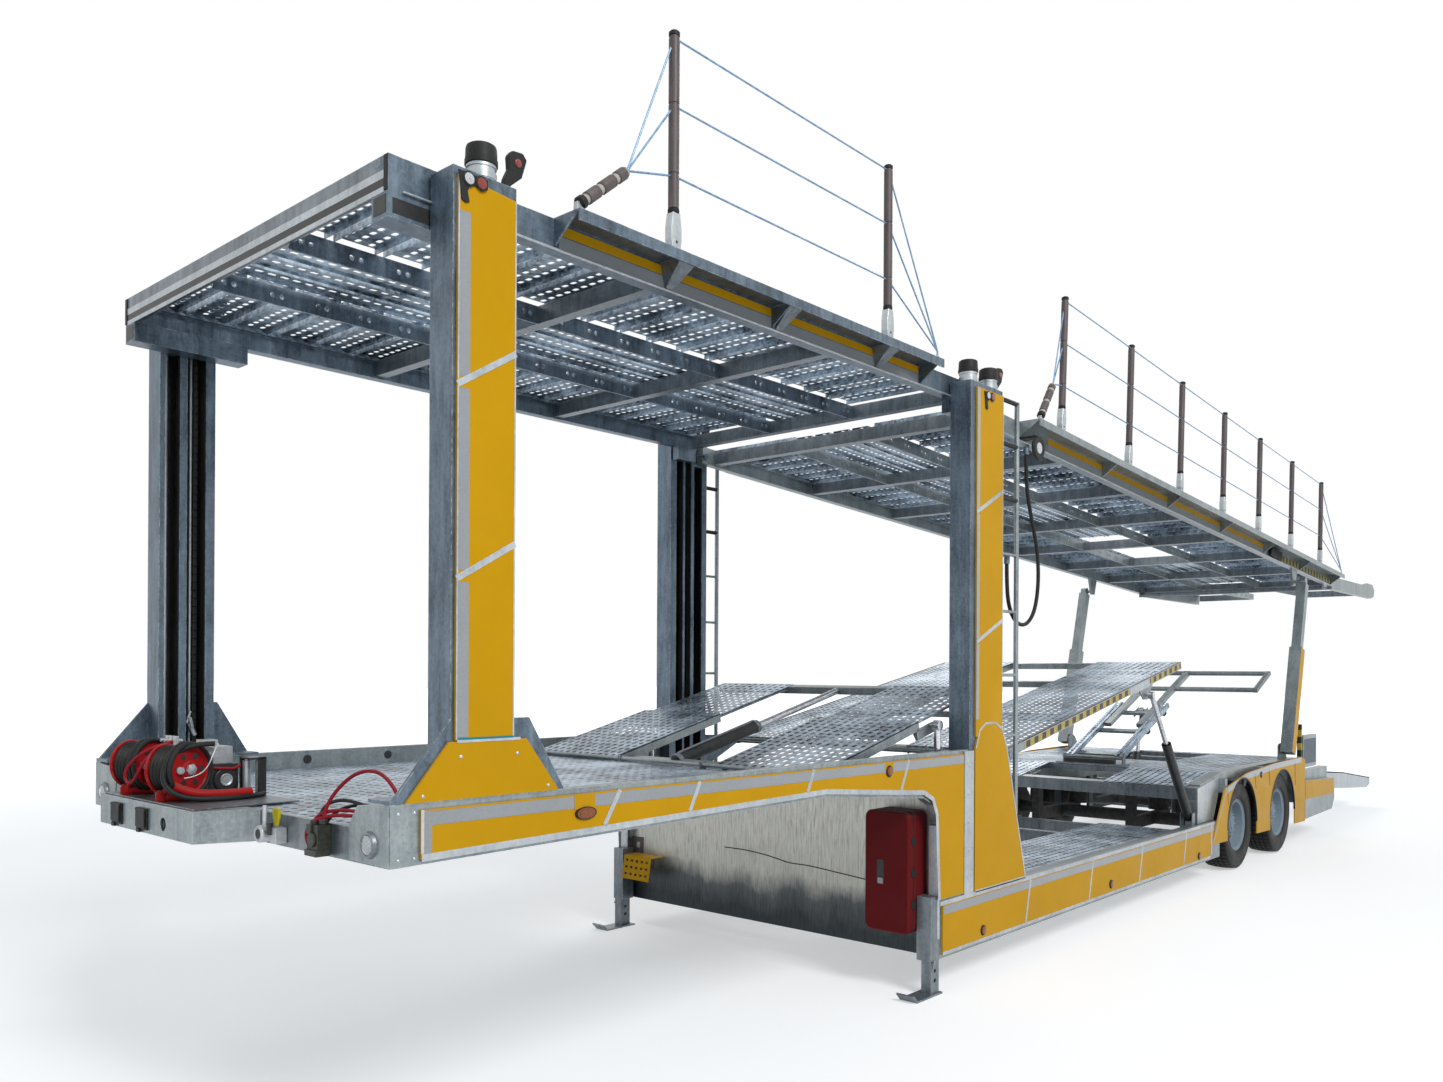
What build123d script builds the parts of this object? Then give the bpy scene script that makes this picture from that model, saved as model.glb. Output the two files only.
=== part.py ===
from build123d import *
import math
import os

# Double-deck car transporter semi-trailer, standing on its landing legs.
# Millimetres, +X to the nose, +Y to the left, +Z up, ground at z = 0.
# Stations run along X from the gooseneck's front corner, rearward negative.
# SHIFT then moves every piece, so that the origin is under the middle of the whole.

# Overall
NOSE_X, TAIL_X = 210, -15200
SHIFT = -(NOSE_X + TAIL_X) / 2
SIDE_Y, SKIN_T = 1265, 10
OUT_Y = SIDE_Y + SKIN_T
BEAM_T = 50
IN_Y = SIDE_Y - BEAM_T

# Gooseneck, neck and well
TOP_Z, NOSE_LOW_Z, NOSE_TOP_Z = 1330, 1125, 1245
NECK_X, SILL_END_X = -3420, -8100
SILL_LOW_Z, SILL_TOP_Z = 190, 500
DECK_Z, DECK_DROP_Z, SHEET_T = 1240, 1178, 8
KINGPIN_X, KINGPIN_R = -1000, 25.4
SOCKET_Y = (-412, -158)
WELL_Z = 440

# Cross members: stations of the high and the dropped gooseneck deck, and of the well
HIGH_MEMBERS, DROPPED_MEMBERS = (-140, -700, -1250, -1800), (-2900, -3370)
WELL_MEMBERS = (-3700, -4500, -5300, -6100, -6900, -7600)
MEMBER_LOW_Z, SILL_IN_Y = 1160, 1110

# Rear frame: the hump deck rises from its front edge to the level part over the wheels
HUMP_X, HUMP_RISE_X, HUMP_END_X, REAR_END_X = -7700, -8300, -10750, -11980
HUMP_Z, HUMP_FRONT_Z, HUMP_SHEET, HUMP_MEMBER = 900, 815, 10, 50
HUMP_BEAM_X, RAIL_LOW_Z = -7780, 700
RAIL_Y, EDGE_Y = (420, 500), (1112, 1205)
END_TOP_Z, END_LOW_Z, END_RAIL_X = 740, 430, -10600
HUMP_MEMBERS = [(-8340, 1112), (-9200, 500), (-9960, 1112), (-10700, 1112)]   # station, half width

# Masts: stations of the edges and of the flanges between their open channels
MAST_IN_Y, MAST_BACK = 1132, 20
FRONT_FLANGES = [(-226, -250), (-320, -355), (-445, -490)]
MID_FLANGES = [(-3730, -3790), (-3862, -3880), (-3945, -3975), (-4060, -4110)]
FRONT_MAST_TOP, MID_MAST_TOP = 3470, 3450

# Running gear
AXLE_X = (-8710, -9980)
WHEEL_R, RIM_R, TYRE_W, TYRE_OUT_Y = 398, 232, 246, 1240
ARCH_R = 425

# Upper decks: deck 1 is level, deck 2 falls to the rear from its pin in the mid masts
UP_HALF, UP_BEAM_T, UP_DEPTH = 1122, 54, 121
UP_TOP_Z, DECK1_X = 3495, (-67, -3930)
DECK2_X, DECK2_TOP_Z, DECK2_TILT, DECK2_LEN, TAIL_LEN = -4120, 3405, 3.245, 8480, 2000
DECK2_PIN_X, DECK2_PIN_Z, DECK2_PIN_R = -4018, 3340, 22
TAIL_TUBE_X, TAIL_TUBE_Z, TAIL_TUBE_R = -12350, 2790, 30
RAIL_IN, PLANK_T, CHANNEL_T = 330, 28, 4
RAIL_T, RAIL_HOLE_R, RAIL_HOLE_GAP, RAIL_HOLE_STEP = 8, 12, 42, 215
LEDGE_T, LEDGE_LIP = 8, 45
POST_H, POST_R, WIRE_R = 900, 23, 4
POSTS_1 = (-1309, -2900)
POSTS_2 = (-4966, -6097, -7159, -8213, -9248, -10333, -11474)

# Rear struts of deck 2, in X and Z: base pin and head pin
STRUT_BASE, STRUT_HEAD, STRUT_Y = (-10430, 1010), (-10960, 2760), 1205
STRUT_BARREL, STRUT_TUBE_FROM = 1080, 770

# Lower platforms, in X and Z: hinge and far end of the wheel tracks
P1_HINGE, P1_END, P1_FIXED = (-2500, 1262), (-4250, 1698), 979
P1_LIFT_BASE, P1_LIFT_EYE, P1_LIFT_Y, P1_RAM_N = (-3560, 560), (-3572, 1468), 1150, -42
P2_HINGE, P2_END = (-4440, 1262), (-7560, 1852)
P2_CYL_BASE, P2_CYL_EYE, P2_CYL_Y = (-7600, 580), (-6780, 1600), 1165
TRACK_IN, TRACK_OUT = 400, 1100

# Wheel lift over the rear deck
LIFT_HINGE, LIFT_END, LIFT_FIXED = (-8420, 965), (-10520, 1785), 1330
LIFT_CYL_BASE, LIFT_CYL_EYE = (-9350, 420), (-9640, 1390)

# Hose behind the left mid mast: its route in X and Z from the upper gland to the lower one
HOSE_R, HOSE_Y, HOSE_GLAND = 12, 1200, 40
HOSE_ROUTE = [(-4550, 3150), (-4550, 2950), (-4625, 2760), (-4715, 2560), (-4735, 2360), (-4690, 2180),
              (-4598, 2088), (-4490, 2065), (-4388, 2104), (-4317, 2201), (-4299, 2350), (-4299, 2440)]

# Loading ramps, in X and Z: root, knee and tip of the top face, and their depth at the root and the tip
RAMP_ROOT, RAMP_KNEE, RAMP_TIP_Z, RAMP_DEPTH, RAMP_TIP_DEPTH = (-11300, 711), (-13720, 542), 380, 200, 125
RAMP_Y = (520, 985)


def box(x0, x1, y0, y1, z0, z1):
    """Box between three pairs of faces, in any order."""
    mid = ((x0 + x1) / 2, (y0 + y1) / 2, (z0 + z1) / 2)
    return Pos(*mid) * Box(abs(x1 - x0), abs(y1 - y0), abs(z1 - z0))


def side_plate(points, y0, y1):
    """Outline in X and Z, thick from y0 to y1."""
    low, high = min(y0, y1), max(y0, y1)
    outline = Polyline(*[(x, low, z) for x, z in points], close=True)
    return extrude(make_face(outline), amount=high - low, dir=(0, 1, 0))


def plan_plate(points, z0, z1):
    """Outline in X and Y, thick from z0 to z1."""
    outline = Polyline(*[(x, y, z0) for x, y in points], close=True)
    return extrude(make_face(outline), amount=z1 - z0, dir=(0, 0, 1))


def rod(p, q, r):
    """Round bar from point p to point q."""
    axis = Vector(*q) - Vector(*p)
    along = (Align.CENTER, Align.CENTER, Align.MIN)
    return Plane(origin=p, z_dir=axis) * Cylinder(r, axis.length, align=along)


def cross_bar(x, z, r, y0, y1):
    """Round bar along Y."""
    return rod((x, y0, z), (x, y1, z), r)


def span(start, end):
    """Length of a line in X and Z."""
    return math.hypot(end[0] - start[0], end[1] - start[1])


def on_line(start, end, s, n=0.0):
    """Point at distance s along a rearward line in X and Z, and n above it."""
    ux, uz = (end[0] - start[0]) / span(start, end), (end[1] - start[1]) / span(start, end)
    return start[0] + ux * s + uz * n, start[1] + uz * s - ux * n


def sloped(start, end, s0, s1, n0, n1, y0, y1):
    """Bar of rectangular section on a line, from s0 to s1 along it and n0 to n1 above it."""
    points = [on_line(start, end, s, n) for s, n in ((s0, n0), (s1, n0), (s1, n1), (s0, n1))]
    return side_plate(points, y0, y1)


def cylinder_barrel(base, eye, y, length, r, bore):
    """Open-topped barrel on a cross pin, with the pin's hole through its foot."""
    top, floor = on_line(base, eye, length), on_line(base, eye, 40)
    foot = on_line(base, eye, -30)
    shell = rod((foot[0], y, foot[1]), (top[0], y, top[1]), r)
    past = on_line(base, eye, length + 1)
    hollow = rod((floor[0], y, floor[1]), (past[0], y, past[1]), bore)
    return shell - hollow - cross_bar(*base, 12.4, y - r - 1, y + r + 1)


def cylinder_rod(base, eye, y, start, r, pin):
    """Chromed rod from inside its barrel to a round eye with its own pin."""
    low, neck = on_line(base, eye, start), on_line(base, eye, span(base, eye) - 20)
    stem = rod((low[0], y, low[1]), (neck[0], y, neck[1]), r)
    head = cross_bar(*eye, 30, y - 20, y + 20)
    return fuse([stem, head, cross_bar(*eye, 11, *pin)])


def both(shape):
    """A shape with its mirror image on the other side of the trailer."""
    return [shape, mirror(shape, Plane.XZ)]


def fuse(shapes):
    return shapes[0] + shapes[1:] if len(shapes) > 1 else shapes[0]


def save(name, shapes):
    """Move a piece to the trailer's own frame and write it."""
    solids = [Pos(SHIFT, 0, 0) * s for shape in shapes for s in shape.solids()]
    export_step(Compound(children=solids) if len(solids) > 1 else solids[0], f"parts/{name}.step")


# Gooseneck and well: two side frames with their cross members and skins

def side_frame():
    outline = [(0, TOP_Z), (0, NOSE_LOW_Z), (-2340, 1170), (-3240, 1090), (-3345, 1040), (-3395, 940),
               (NECK_X, 840), (NECK_X, SILL_LOW_Z), (SILL_END_X, SILL_LOW_Z), (SILL_END_X, SILL_TOP_Z),
               (-3720, SILL_TOP_Z), (-3720, TOP_Z)]
    return side_plate(outline, IN_Y, SIDE_Y)


def gooseneck_frame():
    return both(side_frame())


def crossmembers():
    """Cross members of the gooseneck, the well and the rear frame, with its cross pin and rollers."""
    pieces = [box(0, -20, -IN_Y, IN_Y, NOSE_LOW_Z, DECK_Z)]
    for x in HIGH_MEMBERS:
        pieces.append(box(x - 40, x + 40, -IN_Y, IN_Y, MEMBER_LOW_Z, DECK_Z - SHEET_T))
    hinge_member = box(-2400, -2480, -IN_Y, IN_Y, MEMBER_LOW_Z, DECK_Z - SHEET_T)
    pieces.append(fuse([hinge_member] + platform_1_hinges()))
    for x in DROPPED_MEMBERS:
        pieces.append(box(x - 35, x + 35, -IN_Y, IN_Y, NOSE_LOW_Z + 15, DECK_DROP_Z - SHEET_T))
    for x in WELL_MEMBERS:
        pieces.append(box(x - 35, x + 35, -SILL_IN_Y, SILL_IN_Y, 260, WELL_Z - SHEET_T))
    top = HUMP_Z - HUMP_SHEET
    pieces.append(hump_plate(HUMP_X, HUMP_BEAM_X, RAIL_LOW_Z, -HUMP_SHEET, -EDGE_Y[1], EDGE_Y[1]))
    for x, half in HUMP_MEMBERS:
        pieces.append(box(x - 40, x + 40, -half, half, top - HUMP_MEMBER, top))
    pieces.append(box(REAR_END_X + 60, REAR_END_X, -EDGE_Y[1], EDGE_Y[1], END_LOW_Z - 100, END_LOW_Z))
    pieces.append(cross_bar(*LIFT_CYL_BASE, 12, -RAIL_Y[0], RAIL_Y[0]))
    return pieces + ramp_guides()


def nose_box():
    body = plan_plate([(0, 380), (NOSE_X, 290), (NOSE_X, -600), (0, -690)], NOSE_LOW_Z, NOSE_TOP_Z)
    for y in SOCKET_Y:
        body -= box(NOSE_X - 40, NOSE_X + 1, y - 36, y + 36, 1143, 1215)
    body -= rod((NOSE_X - 40, 32, 1175), (NOSE_X + 1, 32, 1175), 26)
    return [body]


def kingpin_plate():
    """Coupler plate and pin between the two long rails under the gooseneck deck."""
    low = NOSE_LOW_Z + 3
    plate = box(-480, -1560, -380, 380, low, NOSE_LOW_Z + 15)
    pin = rod((KINGPIN_X, 0, low), (KINGPIN_X, 0, low - 84), KINGPIN_R)
    return [fuse([plate, pin] + both(box(-20, -2480, 380, 440, low, MEMBER_LOW_Z)))]


def gooseneck_deck():
    front = both(box(-20, -2478, TRACK_IN - 10, IN_Y, DECK_Z - SHEET_T, DECK_Z))
    front.append(box(-20, -2478, 12 - TRACK_IN, TRACK_IN - 12, DECK_Z - SHEET_T, DECK_Z))
    dropped = both(box(-2490, NECK_X, TRACK_IN - 10, IN_Y, DECK_DROP_Z - SHEET_T, DECK_DROP_Z))
    return front + dropped


def platform_1_hinges():
    """Lugs on the last high cross member that carry the hinge bar of platform 1."""
    x, z = P1_HINGE[0], P1_HINGE[1] - 4
    lugs = []
    for y0 in (-330, 318, -1130, 1118):
        lug = box(x + 20, x - 22, y0, y0 + 12, DECK_DROP_Z, z + 16)
        lugs.append(lug - cross_bar(x, z, 12.4, y0 - 1, y0 + 13))
    return lugs


def bulkhead():
    return [box(NECK_X - 20, NECK_X - 32, -IN_Y, IN_Y, SILL_LOW_Z, NOSE_LOW_Z + 5)]


def well_frame():
    return both(box(NECK_X - 32, HUMP_X, SILL_IN_Y, IN_Y, SILL_LOW_Z, SILL_TOP_Z - 20))


def well_floor():
    return both(box(NECK_X - 60, HUMP_X + 20, 380, 1108, WELL_Z - SHEET_T, WELL_Z))


def side_skins():
    upper = [(-110, TOP_Z - 22), (-110, NOSE_LOW_Z + 20), (-2340, 1188), (-3235, 1110), (-3330, 1070),
             (-3372, 990), (-3400, 520), (-3655, 520), (-3655, TOP_Z - 22)]
    sill = [(-3430, SILL_TOP_Z - 15), (-3430, SILL_LOW_Z + 20), (-7820, SILL_LOW_Z + 20),
            (-7930, SILL_TOP_Z - 15)]
    return both(side_plate(upper, SIDE_Y, OUT_Y)) + both(side_plate(sill, SIDE_Y, OUT_Y))


# Rear frame over the wheels, and the lower part behind them

def hump_z(x):
    """Top of the hump deck at a station."""
    share = min(1.0, (HUMP_X - x) / (HUMP_X - HUMP_RISE_X))
    return HUMP_FRONT_Z + share * (HUMP_Z - HUMP_FRONT_Z)


def hump_plate(x0, x1, low, high, y0, y1):
    """Plate under the hump deck's line: its top is high above it, its foot at the level low."""
    stations = [x0] + [HUMP_RISE_X] * (x0 > HUMP_RISE_X > x1) + [x1]
    points = [(x, hump_z(x) + high) for x in stations]
    if low > 0:
        points += [(x1, low), (x0, low)]
    else:
        points += [(x, hump_z(x) + low) for x in reversed(stations)]
    return side_plate(points, y0, y1)


def rear_frame():
    """Main rails, edge rails, front posts and the low side rails behind the wheels."""
    top = -HUMP_SHEET - HUMP_MEMBER
    rail = hump_plate(HUMP_BEAM_X, HUMP_END_X, RAIL_LOW_Z, top, *RAIL_Y)
    rail += box(END_RAIL_X, REAR_END_X, *RAIL_Y, END_LOW_Z, END_TOP_Z)
    edge = hump_plate(HUMP_BEAM_X, HUMP_END_X, top, 0, *EDGE_Y)
    post = box(HUMP_X, HUMP_X - 120, *EDGE_Y, 250, RAIL_LOW_Z)
    low_rail = box(END_RAIL_X - 100, REAR_END_X, 1120, EDGE_Y[1], END_LOW_Z, END_TOP_Z)
    return both(rail) + both(edge) + both(post) + both(low_rail) + fender_brackets()


def fender_brackets():
    """Brackets from the edge rails out to the fenders: station, width, foot and top."""
    rows = [(-8270, 60, 730, 850), (-9340, 80, 850, 890), (-10700, 80, 300, 890)]
    brackets = []
    for x, width, foot, top in rows:
        brackets += both(box(x - width / 2, x + width / 2, EDGE_Y[1], SIDE_Y, foot, top))
    return brackets


def pivot_brackets():
    """Lugs and pins at the feet of the lift cylinders and the struts, and the plates of the wheel lift."""
    cheek = side_plate([(-10360, HUMP_Z), (-10360, 1040), (-10400, 1060), (-10470, 1060), (-10520, 1030),
                        (-10640, HUMP_Z)], 1120, 1136)
    strut_feet = both(cheek + cross_bar(*STRUT_BASE, 20, 1125, 1262))
    x, y = LIFT_CYL_BASE[0], RAIL_Y[0]
    hangers = both(box(x - 40, x + 40, y, y + 12, 380, RAIL_LOW_Z))
    return lift_feet() + strut_feet + [fuse(lift_base())] + hangers


def rear_deck():
    """Sheets of the hump deck, open in the middle under the wheel lift, and its grey side cheeks."""
    side = both(hump_plate(HUMP_X, HUMP_END_X, -HUMP_SHEET, 0, TRACK_IN, 1110))
    middle = [box(x0, x1, 2 - TRACK_IN, TRACK_IN - 2, HUMP_Z - HUMP_SHEET, HUMP_Z)
              for x0, x1 in ((-8300, -9240), (-10660, HUMP_END_X))]
    cheek = [(-7705, 502), (-7705, 800), (-8235, 868), (-8235, 735), (-8100, 502)]
    return side + middle + both(side_plate(cheek, EDGE_Y[1], EDGE_Y[1] + 8))


def fenders():
    outline = [(-7880, 315), (-8210, 770), (-8830, 865), (-9700, 905), (-10640, 915), (-10790, 880),
               (-10790, 236)]
    panel = side_plate(outline, SIDE_Y, OUT_Y)
    for x in AXLE_X:
        panel -= cross_bar(x, WHEEL_R, ARCH_R, SIDE_Y - 1, OUT_Y + 1)
        panel -= box(x - ARCH_R, x + ARCH_R, SIDE_Y - 1, OUT_Y + 1, 0, WHEEL_R)
    return both(panel)


def rear_boxes():
    """Boxes behind the wheels, and the post with the control cabinet on the left."""
    outline = [(-10800, 660), (-11990, 610), (-12010, 380), (-11900, 270), (-10800, 255)]
    post = box(-10745, -10790, EDGE_Y[1], 1245, END_LOW_Z + 10, 1250)
    cabinet = box(-10790, -11320, EDGE_Y[1] + 8, 1255, 790, 1130)
    cabinet = fillet(cabinet.edges().filter_by(Axis.Y), 25)
    return both(side_plate(outline, EDGE_Y[1], OUT_Y)) + [post + cabinet]


# Masts with open channels on the inner side

def mast(flanges, foot, head):
    front, rear = flanges[0][0], flanges[-1][1]
    back = box(front, rear, SIDE_Y - MAST_BACK, SIDE_Y, foot, head)
    return [back] + [box(a, b, MAST_IN_Y, SIDE_Y, foot, head) for a, b in flanges]


def masts_front():
    foot = box(0, -720, MAST_IN_Y, SIDE_Y, TOP_Z, TOP_Z + 14)
    gusset = side_plate([(-10, TOP_Z + 14), (-716, TOP_Z + 14), (-560, 1600), (-225, 1600)],
                        SIDE_Y - 14, SIDE_Y)
    return both(fuse(mast(FRONT_FLANGES, TOP_Z, FRONT_MAST_TOP) + [foot, gusset]))


def masts_mid():
    """Mid masts, with the blocks and pins that carry deck 2 and the arms that carry platform 2."""
    a, b = MID_FLANGES[2][1], MID_FLANGES[3][0]
    block = box(a, b, MAST_IN_Y, SIDE_Y - MAST_BACK, DECK2_PIN_Z - 70, DECK2_PIN_Z + 70)
    pin = cross_bar(DECK2_PIN_X, DECK2_PIN_Z, DECK2_PIN_R, 1050, MAST_IN_Y + 5)
    rear = MID_FLANGES[-1][1]
    arm = side_plate([(rear, 1060), (rear, 1300), (-4470, 1284), (-4484, 1230)], 1136, 1152)
    arm -= cross_bar(P2_HINGE[0], P2_HINGE[1] - 4, 14.4, 1130, 1160)
    left, right = both(fuse(mast(MID_FLANGES, SILL_TOP_Z, MID_MAST_TOP) + [block, pin, arm]))
    return [fuse([left] + hose_arms()), right]


def hose_arms():
    """Arms with glands on the left mid mast, which hold the two ends of the hose."""
    pieces = []
    for x, face in (HOSE_ROUTE[0], HOSE_ROUTE[-1]):
        z = face + HOSE_GLAND
        pieces.append(box(MID_FLANGES[-1][1], x - 22, HOSE_Y - 10, HOSE_Y + 10, z, z + 24))
        pieces.append(rod((x, HOSE_Y, face), (x, HOSE_Y, z), HOSE_R + 6))
    return pieces


def mast_claddings():
    front = side_plate([(-240, TOP_Z + 200), (-240, 3440), (-484, 3420), (-484, TOP_Z + 200)], SIDE_Y, OUT_Y)
    base = side_plate([(-50, TOP_Z + 2), (-215, TOP_Z + 196), (-540, TOP_Z + 196), (-690, TOP_Z + 2)],
                      SIDE_Y, OUT_Y)
    mid = side_plate([(-3790, 1400), (-3790, 3420), (-4104, 3420), (-4104, 1400)], SIDE_Y, OUT_Y)
    dome = side_plate([(-3784, SILL_TOP_Z + 2), (-3784, 1330), (-3830, 1440), (-3900, 1480), (-4020, 1480),
                       (-4110, 1440), (-4165, 1330), (-4420, SILL_TOP_Z + 2)], SIDE_Y, OUT_Y)
    return both(front) + both(base) + both(fuse([mid, dome]))


def mast_tops():
    pieces = []
    for x, top in ((-381, FRONT_MAST_TOP), (-3800, MID_MAST_TOP), (-4040, MID_MAST_TOP)):
        socket = rod((x, 1207, top), (x, 1207, top + 70), 52)
        pieces += both(socket + rod((x, 1207, top + 70), (x, 1207, top + 130), 58))
    return pieces


def ladders():
    rear = MID_FLANGES[-1][1]
    pieces = [rod((-4345, 1240, 905), (-4345, 1240, 3430), 15)]
    for z in (939, 1389, 1756, 2142, 2490, 2826, 3156, 3420):
        pieces.append(rod((rear, 1240, z), (-4345, 1240, z), 9))
    return both(fuse(pieces))


# Fittings on the bulkhead and the nose

def extinguisher_box():
    case = box(NECK_X - 20, NECK_X + 170, 876, 1168, 328, 1000)
    return [fillet(case.edges().filter_by(Axis.X), 45)]


def wheel_chock():
    """Bent perforated plate hung on the bulkhead beside the right leg."""
    wall, y0, y1 = NECK_X - 20, -1165, -909
    bent = [(wall, 505), (wall + 115, 505), (wall + 140, 346), (wall + 134, 346), (wall + 109, 499),
            (wall, 499)]
    plate = side_plate(bent, y0, y1)
    for z in (380, 425, 470):
        for i in range(5):
            y = y0 + 32 + i * 48
            plate -= box(wall + 100, wall + 150, y - 13, y + 13, z - 8, z + 8)
    return [plate]


def nose_winch():
    """Hose reels with their red flanges on a plate on the nose, and the motor and rollers behind them."""
    x, z, flange_r, drum_r, seat = 115, 1372, 112, 74, NOSE_TOP_Z + 6
    pieces = [cross_bar(x, z, 16, -600, 40), box(-215, 200, -580, 270, NOSE_TOP_Z, seat)]
    for y0 in (-480, -120):
        pieces += [cross_bar(x, z, flange_r, y, y + 8) for y in (y0, y0 + 130)]
        pieces.append(cross_bar(x, z, drum_r, y0, y0 + 138))
        pieces.append(box(x - 50, x + 40, y0 + 50, y0 + 80, seat, z))
    pieces.append(box(-140, -20, -460, -100, seat, 1380))
    pieces.append(box(-125, -45, -345, -120, 1380, 1450))
    pieces += [rod((rx, ry, seat), (rx, ry, 1405), 15) for rx, ry in ((-165, -80), (-195, -30))]
    return [fuse(pieces)]


def air_couplings():
    """Coupling block and drain cock on the front beam, and the sockets in the nose."""
    block = box(0, 60, 825, 905, 1130, 1240)
    cock = rod((0, 500, 1170), (70, 500, 1170), 30)
    sockets = [box(NOSE_X - 40, NOSE_X - 2, y - 34, y + 34, 1145, 1213) for y in SOCKET_Y]
    return [block, cock] + sockets


def marker_lamps():
    spots = [(-827, 1233), (-2883, 1260), (-3883, 272), (-5735, 281), (-7550, 260)]
    pieces = []
    for x, z in spots:
        pieces += both(rod((x, OUT_Y, z), (x, OUT_Y + 12, z), 30))
    return pieces


def tail_lamps():
    return both(box(REAR_END_X, REAR_END_X - 30, 900, 1180, END_LOW_Z - 90, END_LOW_Z - 10))


# Running gear and legs

def axles():
    pieces = []
    for x in AXLE_X:
        beam = [cross_bar(x, WHEEL_R, 60, -960, 960)]
        hubs = both(cross_bar(x, WHEEL_R, 42, 950, 980)) + both(cross_bar(x, WHEEL_R, 190, 880, 955))
        arms = both(box(x - 380, x + 540, 425, 495, WHEEL_R - 55, WHEEL_R + 55))
        hangers = both(box(x + 480, x + 580, 425, 495, WHEEL_R - 55, RAIL_LOW_Z))
        bags = both(rod((x - 290, 410, WHEEL_R + 50), (x - 290, 410, RAIL_LOW_Z), 95))
        pieces.append(fuse(beam + hubs + arms + hangers + bags))
    return pieces


def wheel_ring(section, x, side):
    """Ring turned about the axle from a section of radius and Y."""
    outline = Polyline(*[(0, y, r) for r, y in section], close=True)
    ring = Pos(x, 0, WHEEL_R) * revolve(make_face(outline), Axis.Y)
    return ring if side > 0 else mirror(ring, Plane.XZ)


def tyre(x, side):
    """Ring with walls that lean in to the bead; the tread's round shoulders are trim."""
    inner, outer = TYRE_OUT_Y - TYRE_W, TYRE_OUT_Y
    section = [(RIM_R, inner + 18), (WHEEL_R, inner + 4), (WHEEL_R, outer - 4), (RIM_R, outer - 18)]
    return wheel_ring(section, x, side)


def rim(x, side):
    inner, outer = TYRE_OUT_Y - TYRE_W, TYRE_OUT_Y
    section = [(RIM_R, inner + 18), (RIM_R, outer - 18), (RIM_R - 26, outer - 18), (RIM_R - 34, outer - 110),
               (RIM_R - 70, outer - 140), (110, outer - 130), (92, outer - 66), (0, outer - 66),
               (0, inner - 14), (110, inner - 14), (RIM_R - 40, inner + 30)]
    return wheel_ring(section, x, side)


def landing_legs():
    """Square legs in their housings, on feet with a turned-up front edge."""
    front, rear = NECK_X + 100, NECK_X
    housing = box(front, rear, 1175, SIDE_Y, SILL_LOW_Z, 540)
    inner = box(front - 8, rear + 8, 1200, SIDE_Y - 4, 0, SILL_LOW_Z)
    for z in (81, 133):
        inner -= cross_bar((front + rear) / 2, z, 12, 1199, SIDE_Y)
    turned_up = [(front + 150, 0), (front + 190, 40), (front + 183, 46), (front + 146, 10)]
    foot = side_plate([(rear - 10, 0)] + turned_up + [(rear - 10, 10)], 1165, OUT_Y)
    return both(fuse([housing, inner, foot]))


# Upper decks: side beams, cross members, channel planks, ledge and railing

def member_stations(x0, x1):
    """Middles of the cross members of a deck, one at each end and about every 1.3 m between."""
    count = max(3, round((x0 - x1) / 1300) + 1)
    return [x0 - 30 + (x1 - x0 + 60) * i / (count - 1) for i in range(count)]


def inner_rail(x0, x1, low, seat):
    """Flat rail under the inner ends of the planks, with pairs of round lashing holes."""
    rail = box(x0, x1, RAIL_IN, RAIL_IN + RAIL_T, low, seat)
    pairs = int((x0 - x1 - RAIL_HOLE_STEP / 2) / RAIL_HOLE_STEP) + 1
    start = (x0 + x1) / 2 + (pairs - 1) * RAIL_HOLE_STEP / 2
    z = (low + seat) / 2
    for i in range(pairs):
        for side in (-1, 1):
            x = start - i * RAIL_HOLE_STEP + side * RAIL_HOLE_GAP / 2
            rail -= cross_bar(x, z, RAIL_HOLE_R, RAIL_IN - 1, RAIL_IN + RAIL_T + 1)
    return rail


def deck_frame(x0, x1, top):
    """Side beams with the seat of the planks, inner rails between the cross members, cross members."""
    inner = UP_HALF - UP_BEAM_T
    low, seat = top - UP_DEPTH + 10, top - PLANK_T
    beam = box(x0, x1, inner, UP_HALF, top - UP_DEPTH, top) + box(x0, x1, inner - 30, inner, seat - 8, seat)
    stations = member_stations(x0, x1)
    members = []
    for x in stations:
        member = box(x - 30, x + 30, -inner, inner, low, seat)
        for strip in both(box(x - 30, x + 30, inner - 30, inner, seat - 8, seat)):
            member -= strip
        members.append(member)
    rails = []
    for a, b in zip(stations, stations[1:]):
        rails += both(inner_rail(a - 30, b + 30, low, seat))
    return beam, rails, members


def channel(x, width, top, y0, y1):
    """Folded plank across the deck, open below."""
    low, edge = top - PLANK_T, CHANNEL_T
    points = [(x, low), (x, top), (x - width, top), (x - width, low), (x - width + edge, low),
              (x - width + edge, top - edge), (x - edge, top - edge), (x - edge, low)]
    return side_plate(points, y0, y1)


def deck_planks(x0, x1, top, step, width):
    inner = UP_HALF - UP_BEAM_T
    planks = []
    for i in range(int((x0 - x1 - 20) / step)):
        planks += both(channel(x0 - 20 - i * step, width, top, RAIL_IN, inner))
    return planks


def middle_planks(x0, x1, top):
    return [box(x0, x1, y - 62, y + 62, top - PLANK_T, top - PLANK_T + 12) for y in (-230, -77, 77, 230)]


def ledge(x0, x1, top):
    """Ledge outside the left beam, with its lip and gussets."""
    lip = box(x0, x1, OUT_Y - LEDGE_T, OUT_Y, top - LEDGE_LIP, top)
    pieces = [box(x0, x1, UP_HALF, OUT_Y, top - LEDGE_T, top), lip]
    count = max(2, round((x0 - x1) / 1300) + 1)
    for i in range(count):
        x = x0 - 4 + (x1 - x0 + 8) * i / (count - 1)
        outline = Polyline((x, UP_HALF, top), (x, OUT_Y - 8, top), (x, UP_HALF, top - 110), close=True)
        pieces.append(extrude(make_face(outline), amount=4, dir=(1, 0, 0), both=True))
    return pieces


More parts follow.
